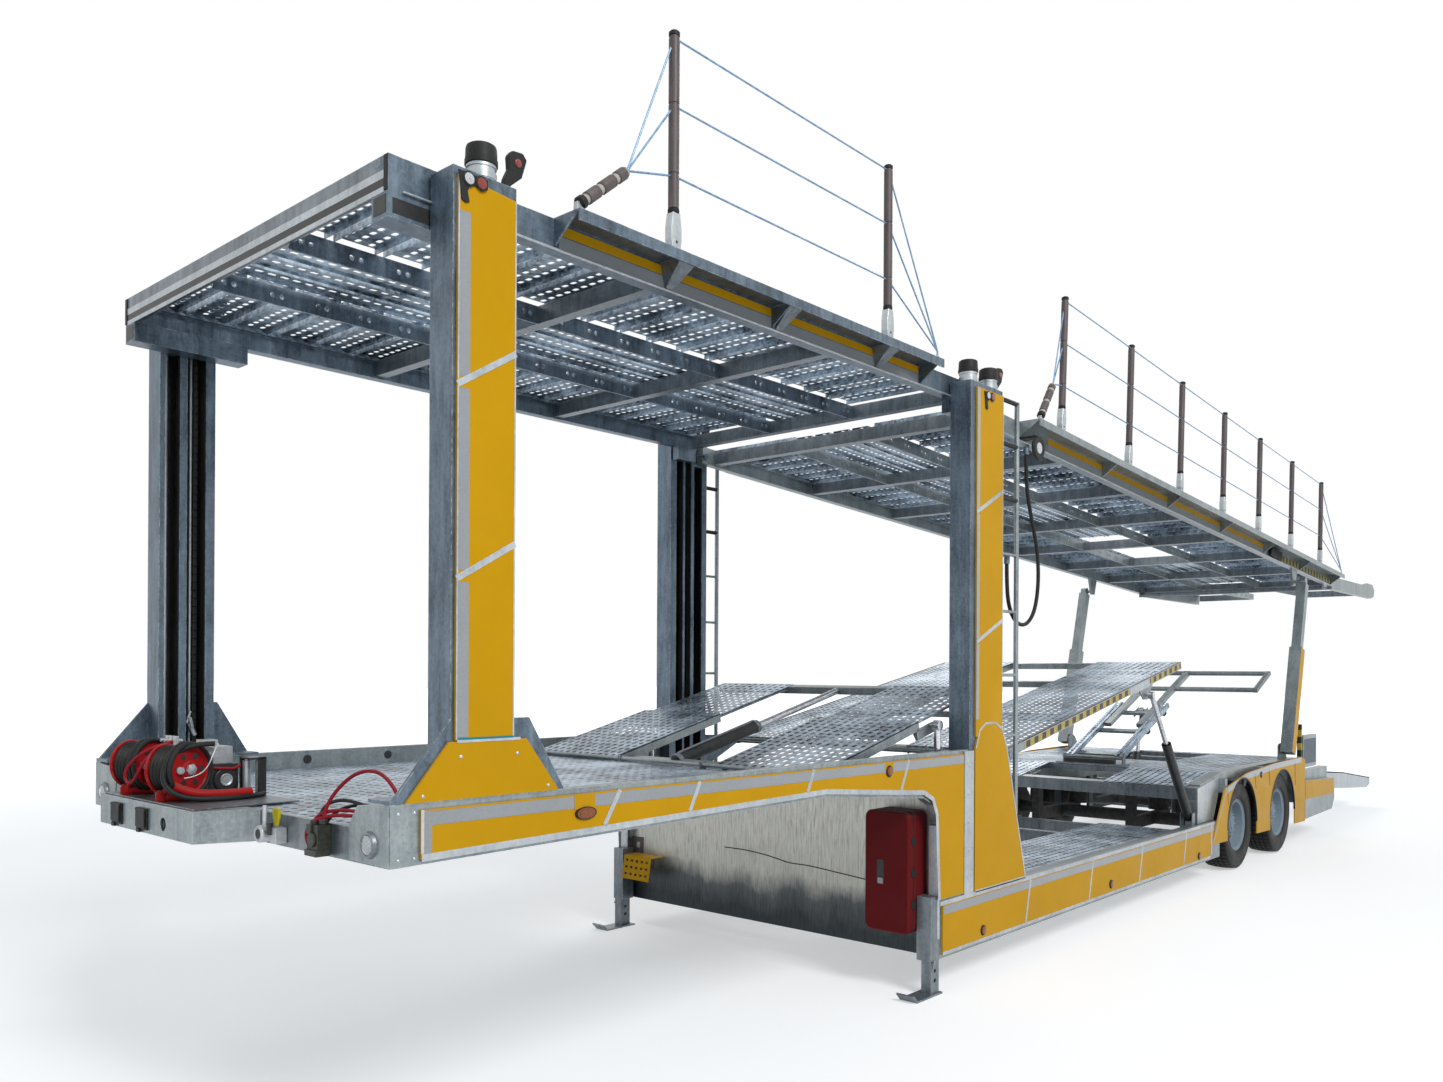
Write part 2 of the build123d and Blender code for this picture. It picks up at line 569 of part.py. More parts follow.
def railing(stations, tips, top):
    """Posts on the ledge with three wires, which meet at the ledge beyond the end posts."""
    y = OUT_Y - POST_R - 10
    pieces = [rod((x, y, top), (x, y, top + POST_H), POST_R) for x in stations]
    pieces += [rod((x, y, top), (x, y, top + 120), POST_R + 6) for x in stations]
    for share in (0.34, 0.66, 0.97):
        z = top + POST_H * share
        pieces.append(rod((stations[0], y, z), (stations[-1], y, z), WIRE_R))
        for x, tip in ((stations[0], tips[0]), (stations[-1], tips[1])):
            pieces.append(rod((tip, y, top + 14), (x, y, z), WIRE_R))
    pieces += [box(tip - 14, tip + 14, y - 6, y + 6, top, top + 24) for tip in tips]
    return [fuse(pieces)]


def front_channel():
    """Front cross member of deck 1: a channel open below, whose front wall closes the deck's edge."""
    front, rear, wall = DECK1_X[0], DECK1_X[0] - 60, 8
    low, seat, inner = UP_TOP_Z - UP_DEPTH, UP_TOP_Z - PLANK_T, UP_HALF - UP_BEAM_T
    outline = [(front, low), (front, UP_TOP_Z), (front - wall, UP_TOP_Z), (front - wall, seat), (rear, seat),
               (rear, low + 30), (rear + wall, low + 30), (rear + wall, seat - wall),
               (front - wall, seat - wall), (front - wall, low)]
    member = side_plate(outline, -inner, inner)
    for strip in both(box(front, rear, inner - 30, inner, seat - 8, seat)):
        member -= strip
    return member


def deck_1():
    low = UP_TOP_Z - UP_DEPTH
    beam, rails, members = deck_frame(*DECK1_X, UP_TOP_Z)
    members[0] = front_channel()
    shoes = [box(DECK1_X[0], -600, UP_HALF - 100, UP_HALF, low - 90, low),
             box(-3740, -3920, UP_HALF - 54, UP_HALF, low - 90, low)]
    shoes += [box(a, b, UP_HALF - 12, 1200, low - 80, low + 70) for a, b in ((-256, -314), (-3796, -3856))]
    left, right = both(fuse([beam] + shoes))
    left = fuse([left] + ledge(-777, -3417, UP_TOP_Z))
    planks = deck_planks(*DECK1_X, UP_TOP_Z, 222, 185) + middle_planks(DECK1_X[0] - 12, DECK1_X[1], UP_TOP_Z)
    return [left, right] + rails, members, planks, railing(POSTS_1, (-820, -3380), UP_TOP_Z)


def on_deck_2(x):
    """Distance along deck 2 of a station, measured from the deck's front end."""
    return (x - DECK2_X) / math.cos(math.radians(DECK2_TILT))


def tilt_2(shapes):
    """Carry shapes built level from x = 0 to the slope of deck 2."""
    place = Pos(DECK2_X, 0, DECK2_TOP_Z) * Rot(0, -DECK2_TILT, 0)
    return [place * s for s in shapes]


def deck_2():
    angle = math.radians(DECK2_TILT)
    tail_x, tail_z = DECK2_X - DECK2_LEN * math.cos(angle), DECK2_TOP_Z - DECK2_LEN * math.sin(angle)
    end_x = tail_x - TAIL_LEN
    inner, seat = UP_HALF - UP_BEAM_T, tail_z - PLANK_T
    beam, rails, members = deck_frame(0, -DECK2_LEN, 0)
    beam += box(120, 0, inner, UP_HALF, -UP_DEPTH, 0)
    head_x, head_z = STRUT_HEAD
    bracket = side_plate([(head_x - 130, tail_z + 60), (head_x - 40, head_z - 40), (head_x + 40, head_z - 40),
                          (head_x + 130, tail_z + 60)], UP_HALF - 24, UP_HALF)
    tail = box(tail_x + 60, end_x, inner, UP_HALF, tail_z - 150, tail_z)
    tail += box(tail_x, end_x, inner - 30, inner, seat - 8, seat)
    lug = side_plate([(end_x + 550, tail_z - 150), (end_x + 550, tail_z), (end_x + 260, tail_z + 35),
                      (end_x - 60, tail_z + 35), (end_x - 175, tail_z - 45), (end_x - 120, tail_z - 125),
                      (end_x + 60, tail_z - 150)], UP_HALF - 14, UP_HALF)
    lug -= cross_bar(end_x + 110, tail_z - 73, 22, inner - 1, UP_HALF + 1)
    hole = cross_bar(DECK2_PIN_X, DECK2_PIN_Z, DECK2_PIN_R + 0.4, inner - 40, UP_HALF + 40)
    plain = fuse(tilt_2([beam]) + [tail, bracket, lug]) - hole
    left = fuse([plain] + tilt_2(ledge(-480, -8350, 0)))
    frame = [left, mirror(plain, Plane.XZ)] + tilt_2(rails)
    frame += both(inner_rail(tail_x - 100, end_x + 60, seat - 80, seat))
    members = tilt_2(members) + [box(tail_x - 40, tail_x - 100, 30 - inner, inner - 30, seat - 80, seat)]
    members += both(box(end_x, end_x + 60, RAIL_IN, inner - 30, seat - 80, seat))
    x, z, r = TAIL_TUBE_X, TAIL_TUBE_Z, TAIL_TUBE_R
    ends = both(box(x - r, x + r, inner - 8, inner, z - r, z + 3 * r))
    members.append(fuse([cross_bar(x, z, r, 8 - inner, inner - 8)] + ends))
    planks = tilt_2(deck_planks(0, -DECK2_LEN, 0, 200, 160))
    for x0, x1 in ((0, -4600), (-6080, -8400)):
        planks += tilt_2(middle_planks(x0, x1, 0))
    planks += deck_planks(tail_x, end_x, tail_z, 200, 160)
    rails = railing([on_deck_2(x) for x in POSTS_2], (-500, -8330), 0)
    return frame, members, planks, tilt_2(rails)


# Rear struts: square tubes that slide in square barrels on a base pin

def struts():
    low, high = STRUT_BASE, STRUT_HEAD
    barrel = sloped(low, high, -50, STRUT_BARREL, -66, 66, STRUT_Y - 60, STRUT_Y + 57)
    barrel -= sloped(low, high, 60, STRUT_BARREL + 1, -58, 58, STRUT_Y - 52, STRUT_Y + 49)
    barrel -= cross_bar(*low, 20.4, STRUT_Y - 61, STRUT_Y + 58)
    tube = sloped(low, high, STRUT_TUBE_FROM, span(low, high) - 30, -52, 52, STRUT_Y - 46, STRUT_Y + 43)
    head = cross_bar(*high, 45, STRUT_Y - 30, STRUT_Y + 30)
    pin = cross_bar(*high, 18, UP_HALF + 5, STRUT_Y)
    return both(barrel), both(fuse([tube, head, pin]))


# Lower platform 1: wheel tracks hinged on the gooseneck, with a part that slides out

def platform_1():
    line = P1_HINGE, P1_END
    fixed = both(sloped(*line, 0, P1_FIXED, -8, 0, TRACK_IN, TRACK_OUT))
    for y0 in (TRACK_IN, TRACK_OUT - 12):
        fixed += both(sloped(*line, 60, P1_FIXED, -60, 0, y0, y0 + 12))
    fixed.append(cross_bar(P1_HINGE[0], P1_HINGE[1] - 4, 12, -1140, 1140))
    fixed.append(sloped(*line, 100, 150, -60, -32, -TRACK_OUT, TRACK_OUT))
    lug = sloped(*line, P1_FIXED - 30, P1_FIXED + 150, -110, -50, TRACK_OUT - 12, TRACK_OUT)
    fixed += both(lug)
    (ax, az), (bx, bz), (cx, cz), (dx, dz) = [on_line(*line, s, P1_RAM_N) for s in (120, 860, 200, 861)]
    tube = rod((ax, 0, az), (bx, 0, bz), 36) - rod((cx, 0, cz), (dx, 0, dz), 27)
    return [fuse(fixed + [tube])]


def platform_1_slide():
    line, length = (P1_HINGE, P1_END), span(P1_HINGE, P1_END)
    pieces = both(sloped(*line, 640, length, -24, -16, TRACK_IN + 20, TRACK_OUT - 20))
    pieces.append(sloped(*line, length - 60, length, -70, -20, 20 - TRACK_OUT, TRACK_OUT - 20))
    a, b = on_line(*line, 760, P1_RAM_N), on_line(*line, length - 50, P1_RAM_N)
    pieces.append(rod((a[0], 0, a[1]), (b[0], 0, b[1]), 22))
    return [fuse(pieces)]


def platform_1_lifts():
    base, eye = P1_LIFT_BASE, P1_LIFT_EYE
    barrel = cylinder_barrel(base, eye, P1_LIFT_Y, 560, 36, 27)
    ram = cylinder_rod(base, eye, P1_LIFT_Y, 400, 20, (TRACK_OUT + 5, P1_LIFT_Y + 20))
    return both(barrel), both(ram)


def lift_feet():
    """Lugs and pins on the sills at the feet of both pairs of lift cylinders."""
    feet, seat = [], SILL_TOP_Z - 20
    for (x, z), y in ((P1_LIFT_BASE, P1_LIFT_Y), (P2_CYL_BASE, P2_CYL_Y)):
        outer = min(y + 52, IN_Y)
        foot = box(x - 35, x + 35, y - 52, outer, seat, seat + 12)
        for y0, y1 in ((y - 52, y - 44), (y + 44, outer)):
            foot += box(x - 35, x + 35, y0, y1, seat, z + 25)
        feet += both(foot + cross_bar(x, z, 12, y - 50, min(y + 50, IN_Y)))
    return feet


# Lower platform 2: wheel tracks over the well, lifted by a cylinder at each side

def platform_2():
    line, length = (P2_HINGE, P2_END), span(P2_HINGE, P2_END)
    pieces = both(sloped(*line, 0, length, 12, 20, TRACK_IN, TRACK_OUT))
    pieces += both(sloped(*line, 0, length, -40, 20, TRACK_IN, TRACK_IN + 12))
    pieces += both(sloped(*line, 0, length, -40, 20, TRACK_OUT - 12, TRACK_OUT + 20))
    for s in (30, 1100, 2300, length - 30):
        pieces.append(sloped(*line, s - 20, s + 20, -36, 12, -TRACK_OUT, TRACK_OUT))
    pieces.append(cross_bar(P2_HINGE[0], P2_HINGE[1] - 4, 14, -1160, 1160))
    eye_x, eye_z = P2_CYL_EYE
    ears = side_plate([(eye_x - 40, eye_z - 35), (eye_x + 40, eye_z - 35), (eye_x + 190, eye_z + 85),
                       (eye_x - 200, eye_z + 150)], TRACK_OUT + 8, TRACK_OUT + 20)
    return [fuse(pieces + both(ears))]


def platform_2_cylinders():
    base, eye = P2_CYL_BASE, P2_CYL_EYE
    barrel = cylinder_barrel(base, eye, P2_CYL_Y, 800, 38, 28)
    ram = cylinder_rod(base, eye, P2_CYL_Y, 620, 20, (TRACK_OUT + 25, P2_CYL_Y + 20))
    return both(barrel), both(ram)


# Wheel lift: perforated arms hinged on the rear deck, with a loop that slides out of them

def lift_frame():
    line = LIFT_HINGE, LIFT_END
    pieces = both(sloped(*line, 0, LIFT_FIXED, -25, 25, 205, 275))
    pieces.append(cross_bar(*LIFT_HINGE, 16, -300, 300))
    for s in (140, 700, 1170):
        pieces.append(sloped(*line, s, s + 60, -58, -30, -275, 275))
        pieces += both(sloped(*line, s, s + 60, -58, -20, 205, 275))
    lug = sloped(*line, 1180, LIFT_FIXED, -84, -30, 42, 54)
    return [fuse(pieces + both(lug))]


def lift_slide():
    line, length = (LIFT_HINGE, LIFT_END), span(LIFT_HINGE, LIFT_END)
    pieces = both(sloped(*line, 780, length, -20, 20, 130, 195))
    for s in (length - 480, length - 20):
        pieces.append(cross_bar(*on_line(*line, s), 24, -1000, 1000))
    pieces += both(sloped(*line, length - 500, length, -20, 20, 970, 1010))
    return [fuse(pieces)]


def lift_base():
    """Base plate and lugs of the wheel lift on the rear deck."""
    x, z = LIFT_HINGE
    pieces = [box(x + 120, x - 60, -330, 330, HUMP_Z, HUMP_Z + 14)]
    for y0 in (-300, 284):
        lug = box(x + 26, x - 26, y0, y0 + 16, HUMP_Z, z + 26)
        pieces.append(lug - cross_bar(x, z, 16.4, y0 - 1, y0 + 17))
    return pieces


def lift_cylinder():
    base, eye = LIFT_CYL_BASE, LIFT_CYL_EYE
    return [cylinder_barrel(base, eye, 0, 560, 40, 30)], [cylinder_rod(base, eye, 0, 460, 22, (-37, 37))]


# Loading ramps at the tail

def ramp(side):
    line, (y0, y1) = (RAMP_ROOT, RAMP_KNEE), RAMP_Y
    length, tip = span(*line), (TAIL_X, RAMP_TIP_Z)
    low = [on_line(*line, s, -RAMP_DEPTH) for s in (0, length)]
    toe = [(TAIL_X, RAMP_TIP_Z - 90), (TAIL_X + 160, RAMP_TIP_Z - RAMP_TIP_DEPTH)]
    cheek = [RAMP_ROOT, RAMP_KNEE, tip] + toe + [low[1], low[0]]
    pieces = [side_plate(cheek, y0, y0 + 10), side_plate(cheek, y1 - 10, y1)]
    pieces.append(sloped(*line, 0, length, -8, 0, y0, y1))
    pieces.append(sloped(RAMP_KNEE, tip, 0, span(RAMP_KNEE, tip) - 6, -8, 0, y0, y1))
    for i in range(6):
        s = 30 + i * (length - 100) / 5
        pieces.append(sloped(*line, s, s + 12, -RAMP_DEPTH, -8, y0, y1))
    body = fuse(pieces)
    return body if side > 0 else mirror(body, Plane.XZ)


def ramp_guides():
    """Rollers on the rear frame that the ramps slide between."""
    rollers = []
    for s, n in ((560, -RAMP_DEPTH - 21), (60, 21), (-480, -RAMP_DEPTH - 21)):
        rollers += both(cross_bar(*on_line(RAMP_ROOT, RAMP_KNEE, s, n), 20, RAIL_Y[1], 1120))
    return rollers


# Hose that hangs from two glands behind the left mid mast

def hose():
    """Plain tube along the route, with an arc at each corner."""
    points = [Vector(x, HOSE_Y, z) for x, z in HOSE_ROUTE]
    runs = [b - a for a, b in zip(points, points[1:])]
    radii = []
    for before, after in zip(runs, runs[1:]):
        half_turn = math.radians(before.get_angle(after)) / 2
        radii.append(0.45 * min(before.length, after.length) / math.tan(half_turn))
    path = FilletPolyline(*points, radius=radii)
    print("hose: length", round(path.length), "radii", [round(r) for r in radii])
    return [sweep(Plane(origin=points[0], z_dir=runs[0]) * Circle(HOSE_R), path=path)]


def main():
    os.makedirs("parts", exist_ok=True)
    single = (gooseneck_frame, crossmembers, nose_box, kingpin_plate, gooseneck_deck, bulkhead, well_frame,
              well_floor, side_skins, rear_frame, rear_deck, pivot_brackets, fenders, rear_boxes, masts_front,
              masts_mid, mast_claddings, mast_tops, ladders, extinguisher_box, wheel_chock, nose_winch,
              air_couplings, marker_lamps, tail_lamps, axles, landing_legs, platform_1,
              platform_1_slide, platform_2, lift_frame, lift_slide, hose)
    for make in single:
        save(make.__name__, make())
    for row, x in (("front", AXLE_X[0]), ("rear", AXLE_X[1])):
        for name, side in (("left", 1), ("right", -1)):
            save(f"tyre_{row}_{name}", [tyre(x, side)])
            save(f"rim_{row}_{name}", [rim(x, side)])
    for number, pieces in ((1, deck_1()), (2, deck_2())):
        for part, shapes in zip(("frame", "members", "planks", "railing"), pieces):
            save(f"deck_{number}_{part}", shapes)
    pairs = (("strut", struts()), ("platform_1_lift", platform_1_lifts()),
             ("platform_2_lift", platform_2_cylinders()), ("lift_cylinder", lift_cylinder()))
    for name, (barrels, rods) in pairs:
        save(f"{name}_barrels", barrels)
        save(f"{name}_rods", rods)
    save("ramp_left", [ramp(1)])
    save("ramp_right", [ramp(-1)])


main()
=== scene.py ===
import math

import bpy
import numpy as np
from mathutils import Matrix, Vector


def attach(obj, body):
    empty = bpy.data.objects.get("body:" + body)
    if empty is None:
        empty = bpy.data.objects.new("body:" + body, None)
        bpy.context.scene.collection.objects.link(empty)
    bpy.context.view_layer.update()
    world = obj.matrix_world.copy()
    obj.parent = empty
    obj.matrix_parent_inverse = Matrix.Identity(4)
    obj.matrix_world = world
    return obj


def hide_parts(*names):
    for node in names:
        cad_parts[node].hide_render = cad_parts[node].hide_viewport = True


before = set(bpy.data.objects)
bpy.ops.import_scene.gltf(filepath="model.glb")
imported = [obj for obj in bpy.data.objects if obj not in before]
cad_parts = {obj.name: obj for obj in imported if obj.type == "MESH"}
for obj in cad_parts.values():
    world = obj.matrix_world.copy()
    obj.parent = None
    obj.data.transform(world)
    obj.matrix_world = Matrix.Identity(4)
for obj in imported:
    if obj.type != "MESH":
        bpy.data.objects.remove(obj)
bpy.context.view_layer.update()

# View
# The camera stands at the trailer's left front corner at about eye height.
# Its place and lens come from the upright masts and the long edges of the decks.
view_place = Vector((9.444, 4.4205, 1.7651))
view_yaw, view_pitch, view_roll = -2.4155, 0.0014, 0.0052
image_width, image_height = 1443, 1082
lens_px, centre_x_px, centre_y_px = 1107.94, 723.13, 670.52
ahead = Vector((math.cos(view_yaw) * math.cos(view_pitch), math.sin(view_yaw) * math.cos(view_pitch),
                math.sin(view_pitch)))
level_right = Vector((math.sin(view_yaw), -math.cos(view_yaw), 0))
level_up = level_right.cross(ahead)
right = level_right * math.cos(view_roll) + level_up * math.sin(view_roll)
up = level_up * math.cos(view_roll) - level_right * math.sin(view_roll)
lens = bpy.data.cameras.new("view")
lens.sensor_width = 36
lens.lens = lens_px / image_width * lens.sensor_width
lens.shift_x = (image_width / 2 - centre_x_px) / image_width
lens.shift_y = (centre_y_px - image_height / 2) / image_width
lens.clip_end = 400
camera = bpy.data.objects.new("view", lens)
camera.matrix_world = Matrix.Translation(view_place) @ Matrix((right, up, -ahead)).transposed().to_4x4()
bpy.context.scene.collection.objects.link(camera)
bpy.context.scene.camera = camera
bpy.context.scene.view_settings.view_transform = "Standard"

# Floor and light
# A pale plain floor under a soft overcast sky, with one broad lamp from the front left and one from behind.
# The sky shows white to the eye and in metal, and lights the trailer at a plain level.
# Far from the trailer the floor rises to the white of the sky.
floor_half, floor_grey, floor_glow = 90.0, 0.80, 0.45
glow_start, glow_end = 10.0, 24.0
sky_tint, sky_level, lamp_size = (0.80, 0.90, 1.0, 1), 0.36, 8.0
lamps = [("sun", (9, 18, 17), (0, 0, 1.5), 3100), ("sky_rear", (-18, -9, 15), (-2, 0, 1.5), 900)]


def add(tree, kind, values=None, **settings):
    """New node of a kind; settings are its attributes, and values go to sockets by name or number."""
    node = tree.nodes.new("ShaderNode" + kind)
    for key, value in settings.items():
        setattr(node, key, value)
    for socket, value in (values or {}).items():
        if isinstance(value, bpy.types.NodeSocket):
            tree.links.new(value, node.inputs[socket])
        else:
            node.inputs[socket].default_value = value
    return node


def number(tree, kind, first, second=0.0, clamp=False):
    """Result of one operation, such as a sum or a product, on two values: each a socket or a number."""
    return add(tree, "Math", {0: first, 1: second}, operation=kind, use_clamp=clamp).outputs[0]


def seen_directly(tree):
    """1 for camera, mirror and glass rays, 0 for light that falls on the object: their sum, 1 at most."""
    path = add(tree, "LightPath").outputs
    camera_or_mirror = number(tree, "ADD", path["Is Camera Ray"], path["Is Glossy Ray"])
    return number(tree, "ADD", camera_or_mirror, path["Is Transmission Ray"], clamp=True)


def surface(name, roughness, metallic=0.0, **sockets):
    """Material with one Principled BSDF whose constant values are set on its own sockets."""
    material = bpy.data.materials.new(name)
    material.use_nodes = True
    skin = material.node_tree.nodes["Principled BSDF"]
    skin.inputs["Roughness"].default_value = roughness
    skin.inputs["Metallic"].default_value = metallic
    for label, value in sockets.items():
        skin.inputs[label.replace("_", " ")].default_value = value
    return material, material.node_tree, skin


world = bpy.data.worlds.new("overcast")
world.use_nodes = True
bpy.context.scene.world = world
tree = world.node_tree
tree.nodes.clear()
lighting_sky = add(tree, "Background", {"Color": sky_tint, "Strength": sky_level})
white_sky = add(tree, "Background", {"Color": (1, 1, 1, 1), "Strength": 1.0})
either = add(tree, "MixShader", {0: seen_directly(tree), 1: lighting_sky.outputs[0], 2: white_sky.outputs[0]})
add(tree, "OutputWorld", {0: either.outputs[0]})

floor_mesh = bpy.data.meshes.new("floor")
corners = np.array([(-1, -1), (1, -1), (1, 1), (-1, 1)]) * floor_half
floor_mesh.from_pydata(np.column_stack([corners, np.zeros(4)]).tolist(), [], [(0, 1, 2, 3)])
floor = bpy.data.objects.new("floor", floor_mesh)
bpy.context.scene.collection.objects.link(floor)
pale, tree, skin = surface("pale_floor", 0.9, Base_Color=(*3 * (floor_grey,), 1), Emission_Color=(1, 1, 1, 1))
from_middle = add(tree, "VectorMath", {0: add(tree, "TexCoord").outputs["Object"]}, operation="LENGTH")
glow_reach = {0: from_middle.outputs["Value"], 1: glow_start, 2: glow_end, 3: floor_glow, 4: 1.0}
rise = add(tree, "MapRange", glow_reach)
glow = number(tree, "MULTIPLY", seen_directly(tree), rise.outputs[0])
tree.links.new(glow, skin.inputs["Emission Strength"])
floor.data.materials.append(pale)

for name, place, aim, power in lamps:
    lamp = bpy.data.lights.new(name, "AREA")
    lamp.shape, lamp.size, lamp.energy = "SQUARE", lamp_size, power
    holder = bpy.data.objects.new(name, lamp)
    holder.location = place
    holder.rotation_euler = (Vector(aim) - Vector(place)).to_track_quat("-Z", "Y").to_euler()
    bpy.context.scene.collection.objects.link(holder)

# Hose
# A black hydraulic hose hangs in a loop behind the left mid mast, from one gland to the other.
# It is 1.7 m of rubber hose, 24 mm thick. Lengths along the trailer are stations from the gooseneck's corner.
station_0 = 7.495
hose_y, hose_r = 1.200, 0.012
hose_points = [(-4.550, 3.150), (-4.550, 2.950), (-4.625, 2.760), (-4.715, 2.560), (-4.735, 2.360),
               (-4.690, 2.180), (-4.598, 2.088), (-4.490, 2.065), (-4.388, 2.104), (-4.317, 2.201),
               (-4.299, 2.350), (-4.299, 2.440)]


def at_object(tree, stretch=(1, 1, 1), turn=(0, 0, 0)):
    """Object coordinates in metres, with the pattern stretched along an axis or turned."""
    place = add(tree, "TexCoord")
    spread_out = {"Vector": place.outputs["Object"], "Scale": stretch, "Rotation": turn}
    return add(tree, "Mapping", spread_out).outputs[0]


def ramp(tree, source, stops):
    """Colour ramp from a value, with (place, grey or colour) stops."""
    node = add(tree, "ValToRGB", {"Fac": source})
    marks = node.color_ramp.elements
    while len(marks) < len(stops):
        marks.new(0.5)
    for mark, (place, tone) in zip(marks, stops):
        mark.position = place
        mark.color = (tone, tone, tone, 1) if isinstance(tone, float) else (*tone, 1)
    return node.outputs["Color"]


def mixed(tree, share, first, second):
    """Colour mix; each of share, first and second is a socket or a value."""
    first, second = [c if isinstance(c, bpy.types.NodeSocket) else (*c, 1) for c in (first, second)]
    node = add(tree, "Mix", {0: share, 6: first, 7: second}, data_type="RGBA", clamp_result=True)
    return node.outputs[2]


def noise(tree, place, scale, detail=4.0, roughness=0.6):
    """Cloudy value between 0 and 1, repeated scale times a metre."""
    values = {"Vector": place, "Scale": scale, "Detail": detail, "Roughness": roughness}
    return add(tree, "TexNoise", values).outputs[0]


def raised(tree, skin, height, depth, strength=0.4):
    """Bump from a height value on the skin's normal."""
    bump = add(tree, "Bump", {"Strength": strength, "Distance": depth, "Height": height})
    tree.links.new(bump.outputs["Normal"], skin.inputs["Normal"])


def black_rubber(name, tone=0.018, scale=160.0):
    """Rubber or moulded plastic: nearly black with a fine grain and grey scuffs."""
    material, tree, skin = surface(name, 0.55, Specular_IOR_Level=0.22)
    grain = noise(tree, at_object(tree), scale)
    scuffs = noise(tree, at_object(tree), 9.0, 8.0, 0.75)
    shade = number(tree, "ADD", number(tree, "MULTIPLY", grain, 0.4), number(tree, "MULTIPLY", scuffs, 0.6))
    tree.links.new(ramp(tree, shade, [(0.35, tone * 0.5), (0.75, tone * 2.2)]), skin.inputs["Base Color"])
    tree.links.new(ramp(tree, scuffs, [(0.3, 0.38), (0.7, 0.66)]), skin.inputs["Roughness"])
    raised(tree, skin, grain, 0.0008)
    return material


rubber = black_rubber("hose_rubber")
hose_curve = bpy.data.curves.new("hose_line", "CURVE")
hose_curve.dimensions = "3D"
line = hose_curve.splines.new("NURBS")
line.points.add(len(hose_points) - 1)
for point, (x, z) in zip(line.points, hose_points):
    point.co = (x + station_0, hose_y, z, 1)
line.order_u = 3
line.use_endpoint_u = True
line.resolution_u = 8
hose_curve.bevel_depth, hose_curve.bevel_resolution = hose_r, 4
hose = bpy.data.objects.new("hose_tube", hose_curve)
bpy.context.scene.collection.objects.link(hose)
hose_curve.materials.append(rubber)
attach(hose, "chassis")
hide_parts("hose")

# Galvanised steel
# Frames, decks, masts, ladders, legs and ramps are hot-dip galvanised.
# The zinc has small crystal patches, pale runs, a dull bloom, road dust and bright worn edges.
# The bluish tint of its colours is a painted reflection of the sky.


def group(name, inputs, outputs):
    """Node group, and the nodes at its two ends; a colour is its default value, or its name for an output."""
    tree = bpy.data.node_groups.new(name, "ShaderNodeTree")
    for label, value in inputs.items():
        kind = "NodeSocketColor" if isinstance(value, tuple) else "NodeSocketFloat"
        tree.interface.new_socket(label, in_out="INPUT", socket_type=kind).default_value = value
    for label in outputs:
        kind = "NodeSocketColor" if label == "Colour" else "NodeSocketFloat"
        tree.interface.new_socket(label, in_out="OUTPUT", socket_type=kind)
    return tree, tree.nodes.new("NodeGroupInput"), tree.nodes.new("NodeGroupOutput")


mid_grey, pale_grey = (0.5, 0.5, 0.5, 1), (0.6, 0.6, 0.6, 1)
zinc_group, ends, outs = group("zinc_bloom", {"Patch Size": 60.0, "Runs": 0.5}, ("Tone", "Streak", "Grain"))
crystals = {"Vector": at_object(zinc_group), "Scale": ends.outputs["Patch Size"]}
patches = add(zinc_group, "TexVoronoi", crystals)
split = add(zinc_group, "SeparateColor", {0: patches.outputs["Color"]})
cloud = noise(zinc_group, at_object(zinc_group), 2.6, 8.0, 0.7)
runs = noise(zinc_group, at_object(zinc_group, (1, 1, 0.12)), 22.0, 5.0, 0.7)
tone = number(zinc_group, "ADD", number(zinc_group, "MULTIPLY", split.outputs[0], 0.12),
              number(zinc_group, "MULTIPLY", cloud, 0.88))
zinc_group.links.new(tone, outs.inputs["Tone"])
streak = number(zinc_group, "MULTIPLY", number(zinc_group, "SUBTRACT", runs, 0.45), ends.outputs["Runs"])
zinc_group.links.new(streak, outs.inputs["Streak"])
zinc_group.links.new(noise(zinc_group, at_object(zinc_group), 240.0, 3.0), outs.inputs["Grain"])

dust_group, ends, outs = group("road_dust", {"Colour": mid_grey, "Amount": 0.3}, ("Colour", "Mask"))
normal = add(dust_group, "SeparateXYZ", {0: add(dust_group, "NewGeometry").outputs["Normal"]})
facing_up = number(dust_group, "MAXIMUM", normal.outputs["Z"], 0.15)
settled = number(dust_group, "MULTIPLY", facing_up, ends.outputs["Amount"])
cloudy = noise(dust_group, at_object(dust_group), 5.0, 8.0, 0.7)
blotch = number(dust_group, "MULTIPLY", cloudy, 1.6, clamp=True)
mask = number(dust_group, "MULTIPLY", settled, blotch, clamp=True)
dust_group.links.new(mask, outs.inputs["Mask"])
dusty = mixed(dust_group, mask, ends.outputs["Colour"], (0.34, 0.31, 0.26))
dust_group.links.new(dusty, outs.inputs["Colour"])

wear_group, ends, outs = group("edge_wear", {"Colour": mid_grey, "Bare": pale_grey, "Reach": 0.004},
                               ("Colour", "Mask"))
soft_edge = add(wear_group, "Bevel", {"Radius": ends.outputs["Reach"]}, samples=3)
true_face = add(wear_group, "NewGeometry")
alike = add(wear_group, "VectorMath", {0: soft_edge.outputs[0], 1: true_face.outputs["Normal"]},
            operation="DOT_PRODUCT")
apart = number(wear_group, "SUBTRACT", 1.0, alike.outputs["Value"])
turned_away = number(wear_group, "MULTIPLY", apart, 9.0, clamp=True)
chips = ramp(wear_group, noise(wear_group, at_object(wear_group), 34.0, 6.0, 0.7), [(0.46, 0.0), (0.60, 1.0)])
mask = number(wear_group, "MULTIPLY", turned_away, chips, clamp=True)
wear_group.links.new(mask, outs.inputs["Mask"])
chipped = mixed(wear_group, mask, ends.outputs["Colour"], ends.outputs["Bare"])
wear_group.links.new(chipped, outs.inputs["Colour"])


